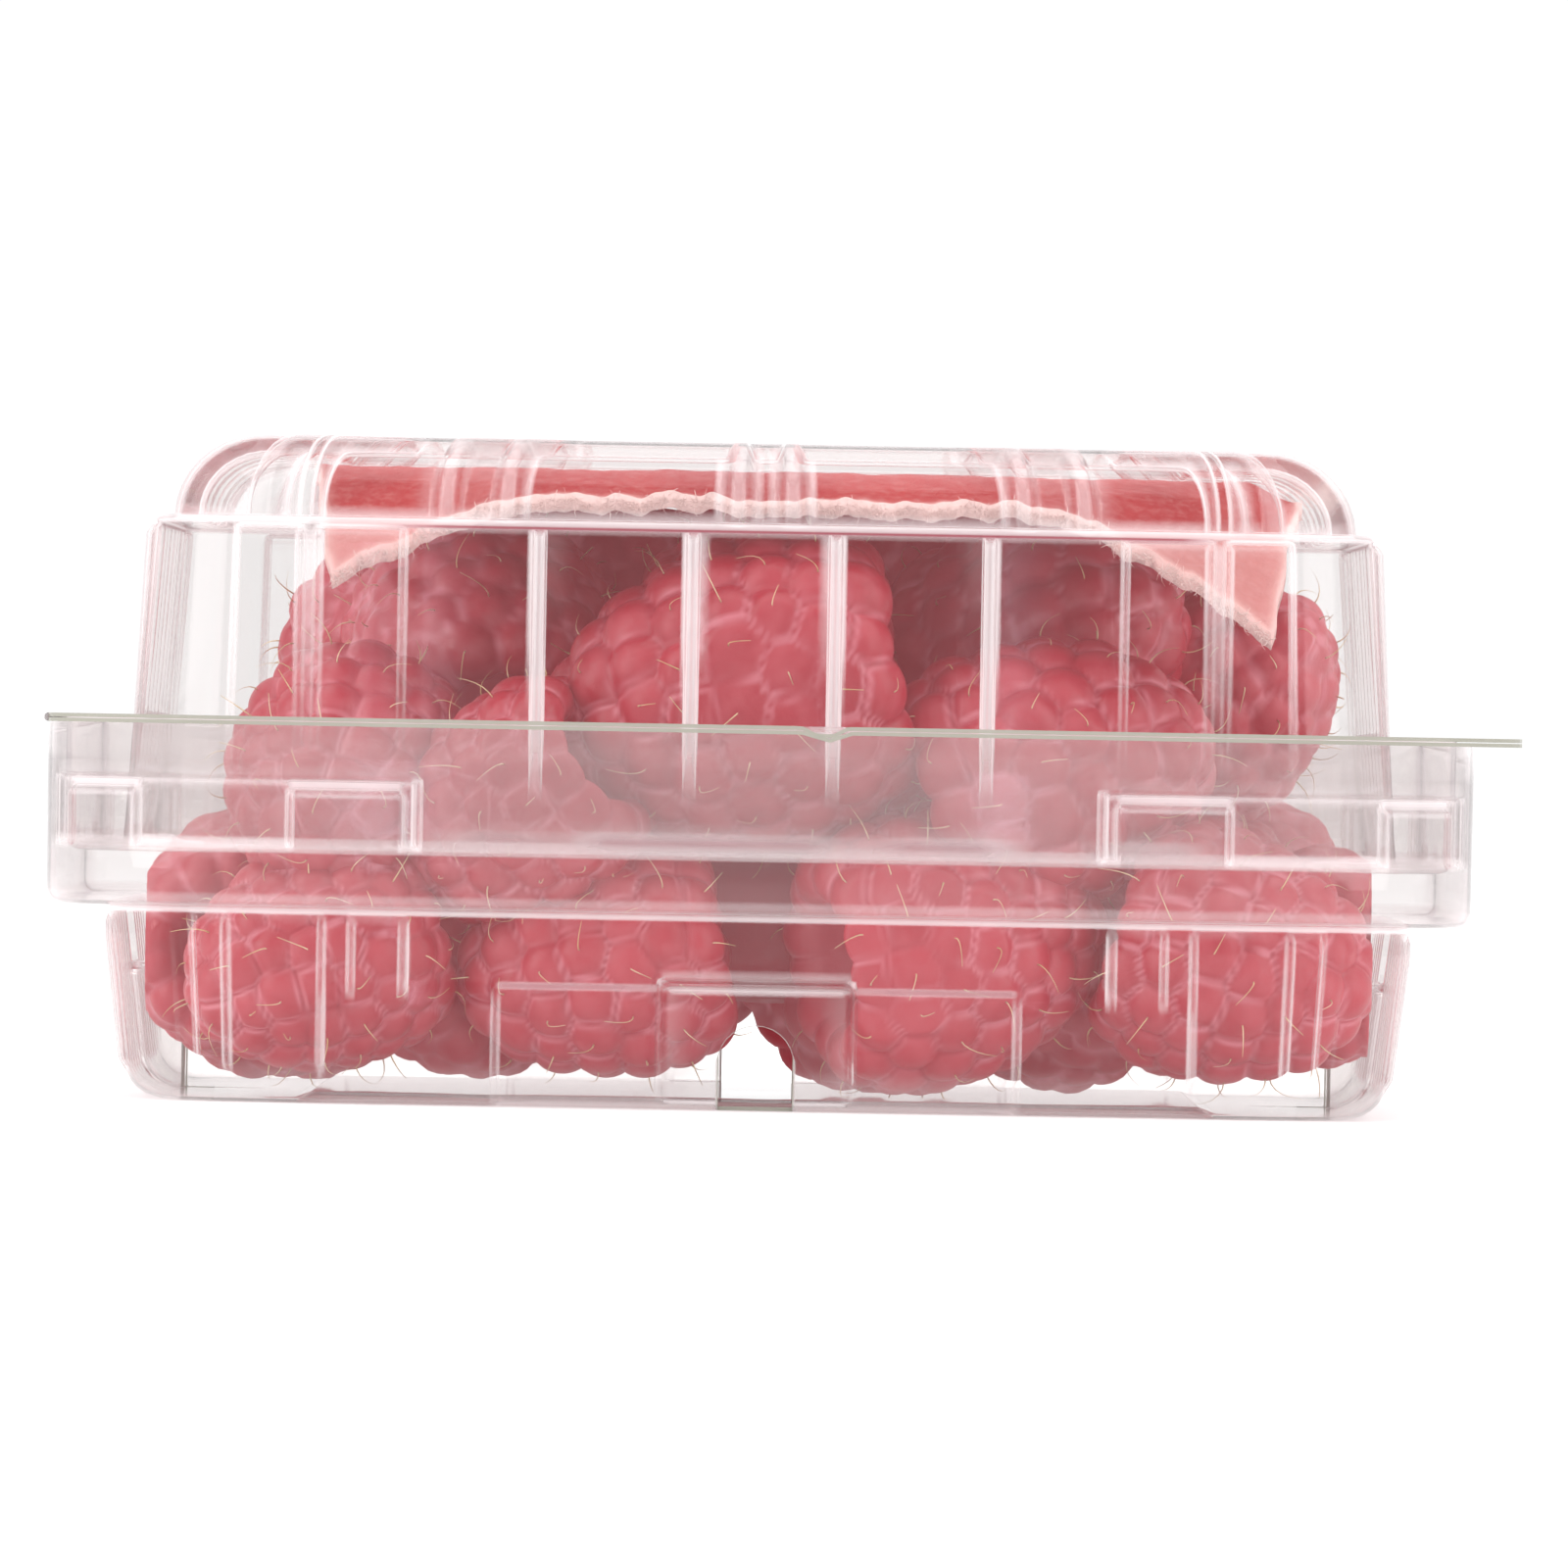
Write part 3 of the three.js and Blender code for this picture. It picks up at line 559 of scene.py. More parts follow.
def upper_grid(flange_top):
    """Outer side of the upper shell. The profile runs from the plate's middle over the plateau's edge, the
    quarter-ellipse shoulder, the step, the leaning wall, the plug's channel and the flange. Beads raise the
    shoulder out to a square edge; ribs and panels lift the wall along the profile's normal."""
    cols = upper_columns()
    profile, (count, arc_end, foot_end) = upper_profile(flange_top)
    h, z = profile.T
    slope = np.gradient(profile, axis=0)
    slope /= np.linalg.norm(slope, axis=1, keepdims=True)
    nh, nz = -slope[:, 1], slope[:, 0]
    x, y, ox, oy = ring_points(cols, (h, h), h + DEPTH_EXTRA, corner_radius(h))
    row = np.arange(len(h))
    bead_foot, bead_reach = 39.35, 1.5
    arc_t = np.clip((row - count) / (arc_end - count - 1), 0, 1)
    on_arc = (row >= count) & (row < arc_end)
    bead_height = np.interp(arc_t, [0, 1], [PLATEAU_Z - TOP_Z, bead_reach])
    bead_h = np.where(on_arc, bead_height * np.sin(arc_t * math.pi / 2), 0)
    bead_z = np.where(on_arc, bead_height * np.cos(arc_t * math.pi / 2), 0)
    on_step = (row >= arc_end) & (h < bead_foot - 0.05)
    bead_h = np.where(on_step, bead_reach * (bead_foot - h) / (bead_foot - SHOULDER_BASE), bead_h)
    bead_z = np.where(row < count, PLATEAU_Z - z, bead_z)
    short, long = measured(cols, SHOULDER_BASE - CORE_HALF)
    bead = pressed(short, long, SHORT_BEADS, LONG_BEADS, lambda s, c: ridge((s - c) / BEAD_HALF, BEAD_CROWN))
    short, long = measured(cols, CORNER_ARC)
    rib_half = np.interp(z, [19.0, 25.0, 37.5], [0.15, 0.42, 0.48])[:, None]
    rib = pressed(short, long, SHORT_RIBS, LONG_RIBS, lambda s, c: ridge((s - c) / rib_half, RIB_CROWN))
    panel = pressed(short, long, SHORT_PANELS, LONG_PANELS, lambda s, span: between(s, *span))
    top_end = np.sqrt(np.clip((37.95 - z) / 0.6, 0, 1)) * (row >= foot_end) * (h < 42.3)
    rib_height = (top_end * np.interp(z, [19.0, 25.0, 37.4], [0, 0.35, 0.8]))[:, None]
    panel_height = (top_end * np.interp(z, [19.0, 37.4], [0, 0.5]))[:, None]
    lift = np.maximum(rib_height * rib, panel_height * panel)
    out = bead_h[:, None] * bead + lift * nh[:, None]
    up = bead_z[:, None] * bead + lift * nz[:, None]
    grid = np.stack([x + ox * out, y + oy * out, z[:, None] + up], -1)
    return cols, grid


def flange_rows(cols, grid, level, inner_half):
    """The grid with four more rows over the flange: from the band out to its edge, which ends flush at the
    hinge and reaches further at the lip, with a small round dent in front."""
    rows = []
    for share in FLANGE_ROWS:
        right = inner_half + (LIP_REACH - inner_half) * share
        left = inner_half + (FLANGE_END - inner_half) * share
        depth = inner_half + DEPTH_EXTRA + (END_REACH - inner_half - DEPTH_EXTRA) * share
        radius = inner_half - CORE_HALF + (FLANGE_CORNER - inner_half + CORE_HALF) * share
        halves = np.array([right]), np.array([left])
        x, y, _, _ = ring_points(cols, halves, np.array([depth]), np.array([radius]))
        dent = 0.5 * smooth((share - 0.3) / 0.5) * np.exp(-((x - DENT_X) / 1.1) ** 4) * (y < 0)
        rows.append(np.stack([x, y, level - dent], -1)[0])
    return np.concatenate([grid, np.array(rows)])


def hinge_fold(name, look):
    """The folded sheet between both flanges along the hinge side: half a ring in section, from the lower
    flange's edge round outside the hinge line to the upper flange's edge, and straight along Y."""
    angle = np.linspace(-math.pi / 2, math.pi / 2, 9)
    outer, inner = HINGE_GAP + look.sheet, HINGE_GAP
    ring = np.concatenate([
        np.column_stack([-outer * np.cos(angle), outer * np.sin(angle)]),
        np.column_stack([-inner * np.cos(angle[::-1]), inner * np.sin(angle[::-1])]),
    ])
    across = np.linspace(-CORE_DEPTH, CORE_DEPTH, 45)
    count = len(ring)
    sections = [np.column_stack([ring[:, 0] - HINGE_REACH, np.full(count, y), ring[:, 1] + HINGE_Z])
                for y in across]
    points = np.concatenate(sections)
    grid = np.arange(len(points)).reshape(len(across), count)
    a, b, b2, a2 = corners_round(grid)
    faces = np.stack([a, a2, b2, b], -1).reshape(-1, 4).tolist()
    faces += [grid[0, ::-1].tolist(), grid[-1].tolist()]
    # Painted highlight: every point counts as bent by one radian per millimetre, which gives the fold part of
    # the painted fold highlight
    bend, none = np.ones(len(points)), np.zeros(len(points))
    numbers = sheet_numbers(look, bend, none, none, none)
    return put_mesh(name, points + [ROW_SHIFT, 0, 0], faces, numbers)


def lower_columns():
    """Columns of the lower shell: over the arched vent, its recess, the flutes, the foot's panel and the
    snap recesses of the band."""
    arch = [VENT_HALF * math.sin(t) for t in np.linspace(0, math.pi / 2, 8)]
    vent = [*arch, VENT_HALF + VENT_MARGIN, 4.2, *edge(RECESS_HALF, 0.3)]
    front = over([(edge, (FOOT_PANEL[0], SNAP_SPAN[0], 23.3, 26.7, 28.6, SNAP_BLOCKS[0][1]))])
    snaps = np.array(over([(edge, (9.7, 17, 18.8))])) / BAND_ARC
    flutes = np.array([0.7, 2.8, 5.1, 7.6, 10.4, *over([(edge, (2.8, 5.1))])]) / FLUTE_ARC
    side = vent + over([(edge, both_ends(LONG_FLUTES))])
    return columns([9, 13, *vent, *front], [*flutes, *snaps, 0.82, 1.4, 1.5], side)


def lower_profile(flange_bottom):
    """The lower shell's profile as rows of half width and level, close together where pressed shapes end."""
    floor = rounded([(24.0, FLOOR_Z, 0), (29.3, FLOOR_Z, 0.4), (30.4, 0.0, 0.4), (33.0, 0.0, 0)], 2)
    across, up = FOOT_ROUND
    foot = [(FOOT_INNER, 0.0), (38.4, 0.0)]
    for t in np.linspace(0.1, math.pi / 2, 7):
        foot.append((FOOT_OUTER + across * math.sin(t), up - up * math.cos(t)))
    wall = rounded([
        (41.66, 2.7, 0), (LEDGE_INNER, LEDGE_Z, 0.45), (LEDGE_OUTER, LEDGE_Z + 0.1, 0),
        (BAND_HALF, LEDGE_Z + 0.15, 1.0), (LOWER_MOUTH, flange_bottom, 0),
    ], 4)
    vent = (VENT_SPRING, VENT_SPRING + VENT_MARGIN, 5.9, VENT_BAND)
    recess = (7.3, 7.5, 7.7, 7.9, 8.1, 8.3, 8.5, 8.7, 9.3)
    snaps = (15.2, 16.5, 16.8, 17.0, 17.2, 17.6, 18.8, 20.0, 20.3, 20.5, 20.8, 21.1, 21.3, 21.6, 22.4)
    wall = with_levels(wall, 2.6, 26, vent + recess + (10.6, 11.7) + snaps)
    return np.concatenate([floor, foot, wall])


def lower_grid(flange_bottom):
    """Outer side of the lower shell, and which of its faces are there. The profile runs from the floor's
    middle down to the foot ring, up the fluted wall, out over the ledge, up the band and out to the flange.
    Each side has a recess that pulls the wall in to an upright face with an arched vent; the row at the
    vent's spring is lifted to the arch, and the rows above it by less and less."""
    cols = lower_columns()
    h, z = lower_profile(flange_bottom).T
    x, y, ox, oy = ring_points(cols, (h, h), h + DEPTH_EXTRA, corner_radius(h))
    row_z = z[:, None] + 0 * x
    row_h = h[:, None]
    below_ledge = row_h < 43
    short, long = measured(cols, FLUTE_ARC)
    middle = np.minimum(short, long)
    flute = pressed(short, long, SHORT_FLUTES, LONG_FLUTES, lambda s, span: between(s, *span))
    on_wall = smooth((row_z - FLUTE_LOW) / 1.2) * smooth((FLUTE_HIGH - row_z) / 0.9) * below_ledge
    out = FLUTE_HEIGHT * flute * on_wall
    centre = between(short, -1, SET_BACK_HALF, 0.3)
    set_back = centre * smooth((SET_BACK_HIGH - row_z) / 0.4) * smooth((row_h - 39) / 1.5) * below_ledge
    out = out - SET_BACK * set_back
    panel = between(short, *FOOT_PANEL, 0.3) * smooth((PANEL_HIGH - row_z) / 2.4)
    panel = panel * smooth((row_h - 40.2) / 1.2)
    out = np.where(below_ledge, np.maximum(out, PANEL_HEIGHT * panel), out)
    snap_arc, _ = measured(cols, BAND_ARC)
    snap_rows = smooth((row_z - SNAP_LOW) / 0.6) * smooth((SNAP_HIGH - row_z) / 0.6)
    recess = between(snap_arc, *SNAP_SPAN, 0.3) * snap_rows
    blocks = np.max([between(snap_arc, *span, 0.3) for span in SNAP_BLOCKS], 0)
    blocks = blocks * smooth((SNAP_BLOCK_HIGH - row_z) / 0.5)
    out = out - np.where(row_h > 46.8, SNAP_DEPTH * recess * (1 - blocks), 0)
    pocket = between(middle, -1, RECESS_HALF - 0.02, 0.26) * smooth((RECESS_TOP + 0.3 - row_z) / 0.6)
    pocket = pocket * (row_h < 43.2)
    out = out * (1 - pocket) - pocket * np.maximum(row_h - RECESS_FACE, 0)
    spring = int(np.argmin(np.abs(z - VENT_SPRING) + (h < 41)))
    rise = np.sqrt(np.clip(VENT_HALF ** 2 - middle ** 2, 0, None))
    moved = np.clip((VENT_BAND - z) / (VENT_BAND - VENT_SPRING), 0, 1) * (np.arange(len(h)) >= spring)
    row_z = row_z + moved[:, None] * rise[None, :]
    raised = centre * smooth((1.4 - row_z) / 1.2) * smooth((row_h - 36.4) / 1.6) * below_ledge
    row_z = row_z + FOOT_LIFT * raised
    grid = np.stack([x + ox * out, y + oy * out, row_z], -1)
    start = int(np.argmin(np.abs(h - FOOT_INNER) + (z > 0.1)))
    mid = np.minimum(middle, np.roll(middle, -1)) < VENT_HALF - 0.02
    mid &= np.maximum(middle, np.roll(middle, -1)) <= VENT_HALF + 0.01
    row = np.arange(len(h) - 1)
    hole = ((row >= start) & (row < spring))[:, None] & mid[None, :]
    return cols, grid, ~hole


def upper_tinge(grid):
    """Where a dark red tinge is painted into the upper shell's folds, only where berries lie behind: a fine
    line under the step and broken smears low in the plug, in front and behind between both corners, and along
    most of each long side."""
    x, y, z = grid[..., 0], grid[..., 1], grid[..., 2]
    short_side = smooth((x + 27.0) / 6.0) * smooth((31.0 - np.abs(x)) / 4.0) * (np.abs(y) > 45)
    berries = np.maximum(short_side, smooth((38.0 - np.abs(y)) / 5.0))
    smears = 0.7 * line_at(z, 17.6, 0.45) * smooth(0.6 + ripple(x, y, 31, 14.0))
    return berries * np.maximum(line_at(z, 38.06, 0.13), smears)


def lower_tinge(grid):
    """The same in the lower shell: a fine line over the set-back panel, left out over the vent's recess, and
    a weak mauve tone along the front and the back of the foot."""
    x, y, z = np.abs(grid[..., 0]), grid[..., 1], grid[..., 2]
    line = line_at(z, 8.0, 0.14) * smooth((17.2 - x) / 0.5) * smooth((x - 6.3) / 0.5) * (y < -50)
    foot = smooth((z - 0.5) / 0.5) * smooth((3.0 - z) / 1.4)
    return np.maximum(line, 0.12 * foot * (np.abs(y) > 49) * smooth((38 - x) / 6))


# Shader wiring

class Wire:
    """One output of a material's node. Arithmetic on it adds Math nodes to the same material."""

    def __init__(self, graph, socket):
        self.graph = graph
        self.socket = socket

    def math(self, operation, first, second):
        return self.graph.node("ShaderNodeMath", {"operation": operation}, {0: first, 1: second})

    def __add__(self, other):
        return self.math("ADD", self, other)

    def __rsub__(self, other):
        return self.math("SUBTRACT", other, self)

    def __mul__(self, other):
        return self.math("MULTIPLY", self, other)

    def __truediv__(self, other):
        return self.math("DIVIDE", self, other)

    def __pow__(self, other):
        return self.math("POWER", self, other)

    def span(self, low, high):
        """0 up to low, 1 from high on, and evenly between them."""
        inputs = {"Value": self, "From Min": low, "From Max": high}
        return self.graph.node("ShaderNodeMapRange", {"clamp": True}, inputs)


class Graph:
    """A new material and its nodes."""

    def __init__(self, name):
        self.material = bpy.data.materials.new(name)
        self.material.use_nodes = True
        self.tree = self.material.node_tree
        self.tree.nodes.clear()

    def node(self, kind, settings=None, inputs=None, out=0):
        """Adds a node of this kind: its settings first, then values or links for its inputs."""
        node = self.tree.nodes.new(kind)
        for key, value in (settings or {}).items():
            setattr(node, key, value)
        for key, value in (inputs or {}).items():
            if isinstance(value, Wire):
                self.tree.links.new(value.socket, node.inputs[key])
            else:
                node.inputs[key].default_value = value
        return Wire(self, node.outputs[out])

    def number(self, name):
        """A number kept on the mesh's points."""
        return self.node("ShaderNodeAttribute", {"attribute_name": name}, out="Fac")

    def noise(self, scale, detail=3.0, rough=0.5):
        """Noise in the object's own space."""
        place = self.node("ShaderNodeTexCoord", out="Object")
        inputs = {"Vector": place, "Scale": scale, "Detail": detail, "Roughness": rough}
        return self.node("ShaderNodeTexNoise", inputs=inputs)

    def blend(self, amount, first, second):
        """Mixes two colours by an amount."""
        inputs = {0: amount, 6: first, 7: second}
        return self.node("ShaderNodeMix", {"data_type": "RGBA"}, inputs, out=2)

    def finish(self, shader):
        """Links the shader to the material's surface and returns the material."""
        output = self.tree.nodes.new("ShaderNodeOutputMaterial")
        self.tree.links.new(shader.socket, output.inputs["Surface"])
        return self.material


def clear_sheet(name):
    """Clear sheet. Its mirror share rises from 2.5% head-on with the fifth power of the slant, to which the
    milky share kept on the mesh is added, in its tint, painted fold highlights and band reflection included;
    the rest is seen through."""
    g = Graph(name)
    facing = g.node("ShaderNodeLayerWeight", inputs={"Blend": 0.5}, out="Facing")
    head_on, rise = 0.025, 0.9
    mirror = facing ** 5 * rise + head_on
    opaque = mirror + g.number("veil_and_glint")
    tint = g.node("ShaderNodeAttribute", {"attribute_name": "tint"}, out="Color")
    body = g.node("ShaderNodeBsdfPrincipled", inputs={
        "Base Color": tint, "Metallic": mirror / opaque, "Roughness": 0.035, "Specular IOR Level": 0.0,
    })
    seen = g.node("ShaderNodeBsdfTransparent", inputs={"Color": (0.958, 0.953, 0.951, 1)})
    return g.finish(g.node("ShaderNodeMixShader", inputs={0: opaque, 1: seen, 2: body}))


def berry_flesh(name, look):
    """Raspberry skin: each berry and drupelet a little lighter or darker, a mottled pale bloom, painted shade
    as a deeper red in the grooves with a broken pale line beside them, a paler hollow, a soft sheen, and a
    painted
    glow: weak emission of the skin's own colour that lifts its shadows."""
    g = Graph(name)
    groove = g.number("groove")
    tone = g.number("tone")
    hollow = g.number("hollow")
    red = g.blend(tone, (*look.berry_deep, 1), (*look.berry_light, 1))
    mottle = g.noise(700.0, 3.0).span(0.35, 0.7)
    # Painted shade: the grooves between drupelets get no bloom and turn to a darker red
    red = g.blend(mottle * 0.45 * (1.0 - groove), red, (*look.berry_bloom, 1))
    red = g.blend(groove * 0.4, red, (*look.berry_groove_shade, 1))
    broken = g.noise(260.0, 1.0).span(0.28, 0.58)
    red = g.blend(g.number("rim") * broken * 0.55, red, (*look.berry_rim, 1))
    red = g.blend(hollow * 0.6, red, (*look.berry_bloom, 1))
    height = g.noise(2600.0, 2.0)
    normal = g.node("ShaderNodeBump", inputs={"Strength": 0.12, "Distance": 0.0002, "Height": height})
    body = g.node("ShaderNodeBsdfPrincipled", inputs={
        "Base Color": red, "Roughness": mottle * 0.2 + 0.32, "Normal": normal,
        "Coat Weight": 0.15, "Coat Roughness": 0.25,
        # Painted glow: the skin gives off light of its own colour, which lifts its shadows
        "Emission Color": red, "Emission Strength": look.berry_painted_glow,
    })
    return g.finish(body)


def hair_finish(name):
    """Dry hairs of the berries, from light brown to straw."""
    g = Graph(name)
    tint = g.noise(500.0, 1.0).span(0.3, 0.7)
    colour = g.blend(tint, (0.72, 0.47, 0.22, 1), (0.86, 0.68, 0.45, 1))
    body = g.node("ShaderNodeBsdfPrincipled", inputs={"Base Color": colour, "Roughness": 0.5})
    return g.finish(body)


def pad_paper(name, look):
    """Fibrous pink pad: blotches of stronger red, a pale torn edge, paler hanging corners, a fine fibre bump
    and a painted glow: weak emission of its own colour that lifts its shade, in place of the light that the
    thin paper passes on."""
    g = Graph(name)
    fibre = g.noise(1500.0, 6.0, 0.7)
    blotch = g.noise(90.0, 3.0).span(0.3, 0.75)
    colour = g.blend(blotch, (*look.pad_pink, 1), (*look.pad_red, 1))
    colour = g.blend(g.number("torn"), colour, (*look.pad_edge, 1))
    colour = g.blend(g.number("droop") * 0.5, colour, (*look.pad_tip, 1))
    colour = g.blend(fibre.span(0.45, 0.75) * 0.15, colour, (*look.pad_edge, 1))
    normal = g.node("ShaderNodeBump", inputs={"Strength": 0.6, "Distance": 0.0006, "Height": fibre})
    body = g.node("ShaderNodeBsdfPrincipled", inputs={
        "Base Color": colour, "Roughness": 0.9, "Normal": normal,
        # Painted glow: the paper gives off light of its own colour, which lifts its shade
        "Emission Color": colour, "Emission Strength": look.pad_painted_glow,
    })
    return g.finish(body)


def plain_floor(name):
    """Near-white floor without a pattern."""
    g = Graph(name)
    shade = g.noise(6.0, 2.0).span(0.2, 0.8)
    colour = g.blend(shade, (0.74, 0.74, 0.74, 1), (0.76, 0.76, 0.76, 1))
    return g.finish(g.node("ShaderNodeBsdfPrincipled", inputs={
        "Base Color": colour, "Roughness": 0.8, "Emission Color": (1, 1, 1, 1), "Emission Strength": 0.3,
    }))


# The berries

# Half outline of a berry from its tip over its widest place to the bottom of the hollow in its wide end, as
# shares of the half width and of the length
BERRY_OUTLINE = (
    (0, 0.47), (0.3, 0.445), (0.56, 0.36), (0.76, 0.24), (0.89, 0.1), (0.96, -0.04), (0.97, -0.18),
    (0.9, -0.31), (0.76, -0.395), (0.6, -0.41), (0.47, -0.36), (0.38, -0.24), (0.24, -0.1), (0, -0.04),
)
WIDEST = 0.97
TIP_TO_RIM = 0.88


def berry_profile(rows):
    """The berry's outline rounded by a sliding window, with rows evenly spread along it, and how far along
    it each row is."""
    shape = np.array(BERRY_OUTLINE)
    fine = np.linspace(0, len(shape) - 1, 400)
    knots = np.arange(len(shape))
    curve = np.column_stack([np.interp(fine, knots, shape[:, i]) for i in (0, 1)])
    window = np.hanning(41)
    window /= window.sum()
    padded = np.pad(curve, ((20, 20), (0, 0)), "reflect", reflect_type="odd")
    curve = np.column_stack([np.convolve(padded[:, i], window, "valid") for i in (0, 1)])
    run = np.concatenate([[0], np.cumsum(np.linalg.norm(np.diff(curve, axis=0) * [0.5, 1.1], axis=1))])
    even = np.linspace(0, run[-1], rows)
    return np.column_stack([np.interp(even, run, curve[:, i]) for i in (0, 1)]), even / run[-1]


def turn_to(azimuth, elevation, spin):
    """Rotation that takes +Z to the tip's direction after a spin about it."""
    a, e = math.radians(azimuth), math.radians(elevation)
    tip = np.array([math.cos(e) * math.cos(a), math.cos(e) * math.sin(a), math.sin(e)])
    side = np.cross([0.0, 0.0, 1.0], tip)
    side /= np.linalg.norm(side)
    other = np.cross(tip, side)
    c, s = math.cos(spin), math.sin(spin)
    return np.column_stack([side * c + other * s, other * c - side * s, tip])


def turned(r, h, theta):
    """Every pair of a distance from the axis and a height, at every angle round it."""
    r, h = r[:, None], h[:, None]
    return np.stack([r * np.cos(theta), r * np.sin(theta), h + 0 * theta], -1).reshape(-1, 3)


def drupelet_rings(profile, ball, draw):
    """Where the drupelets sit on a turned profile, and their directions: one at the tip, and staggered rings
    round it that end at the hollow's rim, each place a little off its even one. The profile's four rows are
    the distance from the axis, the height and both parts of its normal."""
    r, h = profile[:2]
    steps = np.linalg.norm(np.diff(np.column_stack([r, h]), axis=0), axis=1)
    run = np.concatenate([[0], np.cumsum(steps)])
    end = run[int(DRUPELETS_END * len(r))]
    rings = max(4, round(end / (ball * RING_STEP)))
    centres, normals = [np.array([[0, 0, h[0]]])], [np.array([[0, 0, 1.0]])]
    for k in range(1, rings + 1):
        across, level, n_across, n_up = (np.interp(end * k / rings, run, values) for values in profile)
        count = max(4, round(math.tau * across / (ball * BALL_STEP)))
        angle = (np.arange(count) + 0.5 * (k % 2) + draw.uniform(-0.13, 0.13, count)) * math.tau / count
        levels = level + draw.uniform(-0.12, 0.12, count) * ball
        centres.append(np.column_stack([across * np.cos(angle), across * np.sin(angle), levels]))
        ups = np.full(count, n_up)
        normals.append(np.column_stack([n_across * np.cos(angle), n_across * np.sin(angle), ups]))
    return np.concatenate(centres), np.concatenate(normals)


def one_berry(spec, index, rows, cols):
    """One berry: a turned profile whose surface is raised to the highest of the balls set in rings over it,
    one for each drupelet. Returns points, point numbers, and the drupelets' tops and directions. Where the
    two highest balls are level is a groove, and the pale line runs a little beside it."""
    x, y, z, length, width, azimuth, elevation = spec
    draw = np.random.default_rng(BERRY_SEED + index)
    outline, run = berry_profile(rows)
    ball = DRUPELET * (width + length) / 2 * draw.uniform(0.94, 1.06)
    sphere = BALL_RADIUS * ball
    sunk = BALL_DEPTH * ball
    crest = sphere - sunk
    half = (width / 2 - crest) / WIDEST
    tall = (length * 0.96 - 2 * crest) / TIP_TO_RIM
    r, h = outline[:, 0] * half, outline[:, 1] * tall
    theta = np.linspace(0, math.tau, cols, endpoint=False)
    p = turned(r, h, theta)
    slope = np.gradient(np.column_stack([r, h]), axis=0)
    slope /= np.linalg.norm(slope, axis=1, keepdims=True)
    nr, nh = -slope[:, 1], slope[:, 0]
    nr[0], nh[0] = 0.0, 1.0
    nr[-1], nh[-1] = 0.0, -1.0
    n = turned(nr, nh, theta)
    centres, normals = drupelet_rings((r, h, nr, nh), ball, draw)
    size = sphere * draw.uniform(0.95, 1.04, len(centres))
    centres = centres - normals * sunk
    gap = centres[None] - p[:, None]
    along = np.einsum("vkc,vc->vk", gap, n)
    perp = (gap ** 2).sum(2) - along ** 2
    cap = np.where(perp < size ** 2, along + np.sqrt(np.clip(size ** 2 - perp, 0, None)), -1.5 * ball)
    order = np.argsort(cap, axis=1)[:, -2:]
    best = np.take_along_axis(cap, order, 1)
    lift = np.maximum(best[:, 1], GROOVE_FLOOR * ball)
    second = np.maximum(best[:, 0], GROOVE_FLOOR * ball)
    groove = np.exp(-(lift - second) / (GROOVE_WIDTH * ball))
    rim = np.exp(-((lift - second - RIM_PLACE * ball) / (RIM_WIDTH * ball)) ** 2)
    lift = lift - GROOVE_CUT * ball * groove
    hollow = np.repeat(smooth((run - HOLLOW_START) / 0.12), cols)
    lift = lift * (1 - hollow)
    own = draw.uniform(0, 1, len(centres))
    tone = np.clip(draw.uniform(0.2, 0.65) + 0.45 * (own[order[:, 1]] - 0.5), 0, 1)
    points = (p + n * lift[:, None]).reshape(rows, cols, 3)
    points[0] = points[0].mean(0)
    points[-1] = points[-1].mean(0)
    matrix = turn_to(azimuth, elevation, draw.uniform(0, math.tau))
    placed = points.reshape(-1, 3) @ matrix.T + [x, y, z]
    tops = (centres + normals * size[:, None]) @ matrix.T + [x, y, z]
    numbers = {"groove": groove * (1 - hollow), "rim": rim * (1 - hollow), "tone": tone, "hollow": hollow}
    return placed, numbers, tops, normals @ matrix.T


def ball_faces(rows, cols):
    """Faces of a grid that closes round and ends in one point at each end. used says which points of the
    grid stay, one for each end, and the faces count only those."""
    grid = np.arange(rows * cols).reshape(rows, cols)
    quads = np.stack(corners_round(grid[1:-1]), -1).reshape(-1, 4)
    first, last = grid[1], grid[-2]
    tip = np.stack([np.full(cols, grid[0, 0]), first, np.roll(first, -1)], -1)
    end = np.stack([np.full(cols, grid[-1, 0]), np.roll(last, -1), last], -1)
    used = np.ones(rows * cols, bool)
    used[1:cols] = False
    used[-cols + 1:] = False
    renumber = np.cumsum(used) - 1
    return used, renumber[quads], renumber[np.concatenate([tip, end])]


def inside_walls(points):
    """Presses points that would reach the clear walls flat against them, as soft berries lie: most of what
    passes in front and behind, and all at the sides and the floor."""
    pressed_back = 0.7
    limit = np.where(points[:, 2] > BERRY_LEAN, BERRY_HALF_HIGH, BERRY_HALF_LOW)
    past = np.clip(np.abs(points[:, 1]) - BERRY_DEPTH, 0, None)
    points[:, 1] -= np.sign(points[:, 1]) * past * pressed_back
    points[:, 0] = np.clip(points[:, 0], -limit, limit)
    points[:, 2] = np.maximum(points[:, 2], BERRY_FLOOR)
    return points


def berry_piece(name, specs, rows, cols, start):
    """Many berries as one piece, each from one_berry, and their drupelets' tops and directions for hairs."""
    used, quads, ends = ball_faces(rows, cols)
    step = int(used.sum())
    points, faces, tops, ways = [], [], [], []
    numbers = {"groove": [], "rim": [], "tone": [], "hollow": []}
    for i, spec in enumerate(specs):
        placed, own, top, way = one_berry(spec, start + i, rows, cols)
        points.append(inside_walls(placed[used]))
        for key, values in own.items():
            numbers[key].append(values[used])
        faces += (quads + i * step).tolist() + (ends + i * step).tolist()
        tops.append(top)
        ways.append(way)
    numbers = {key: np.concatenate(values) for key, values in numbers.items()}
    piece = put_mesh(name, np.concatenate(points) + [ROW_SHIFT, 0, 0], faces, numbers)
    return piece, np.concatenate(tops), np.concatenate(ways)


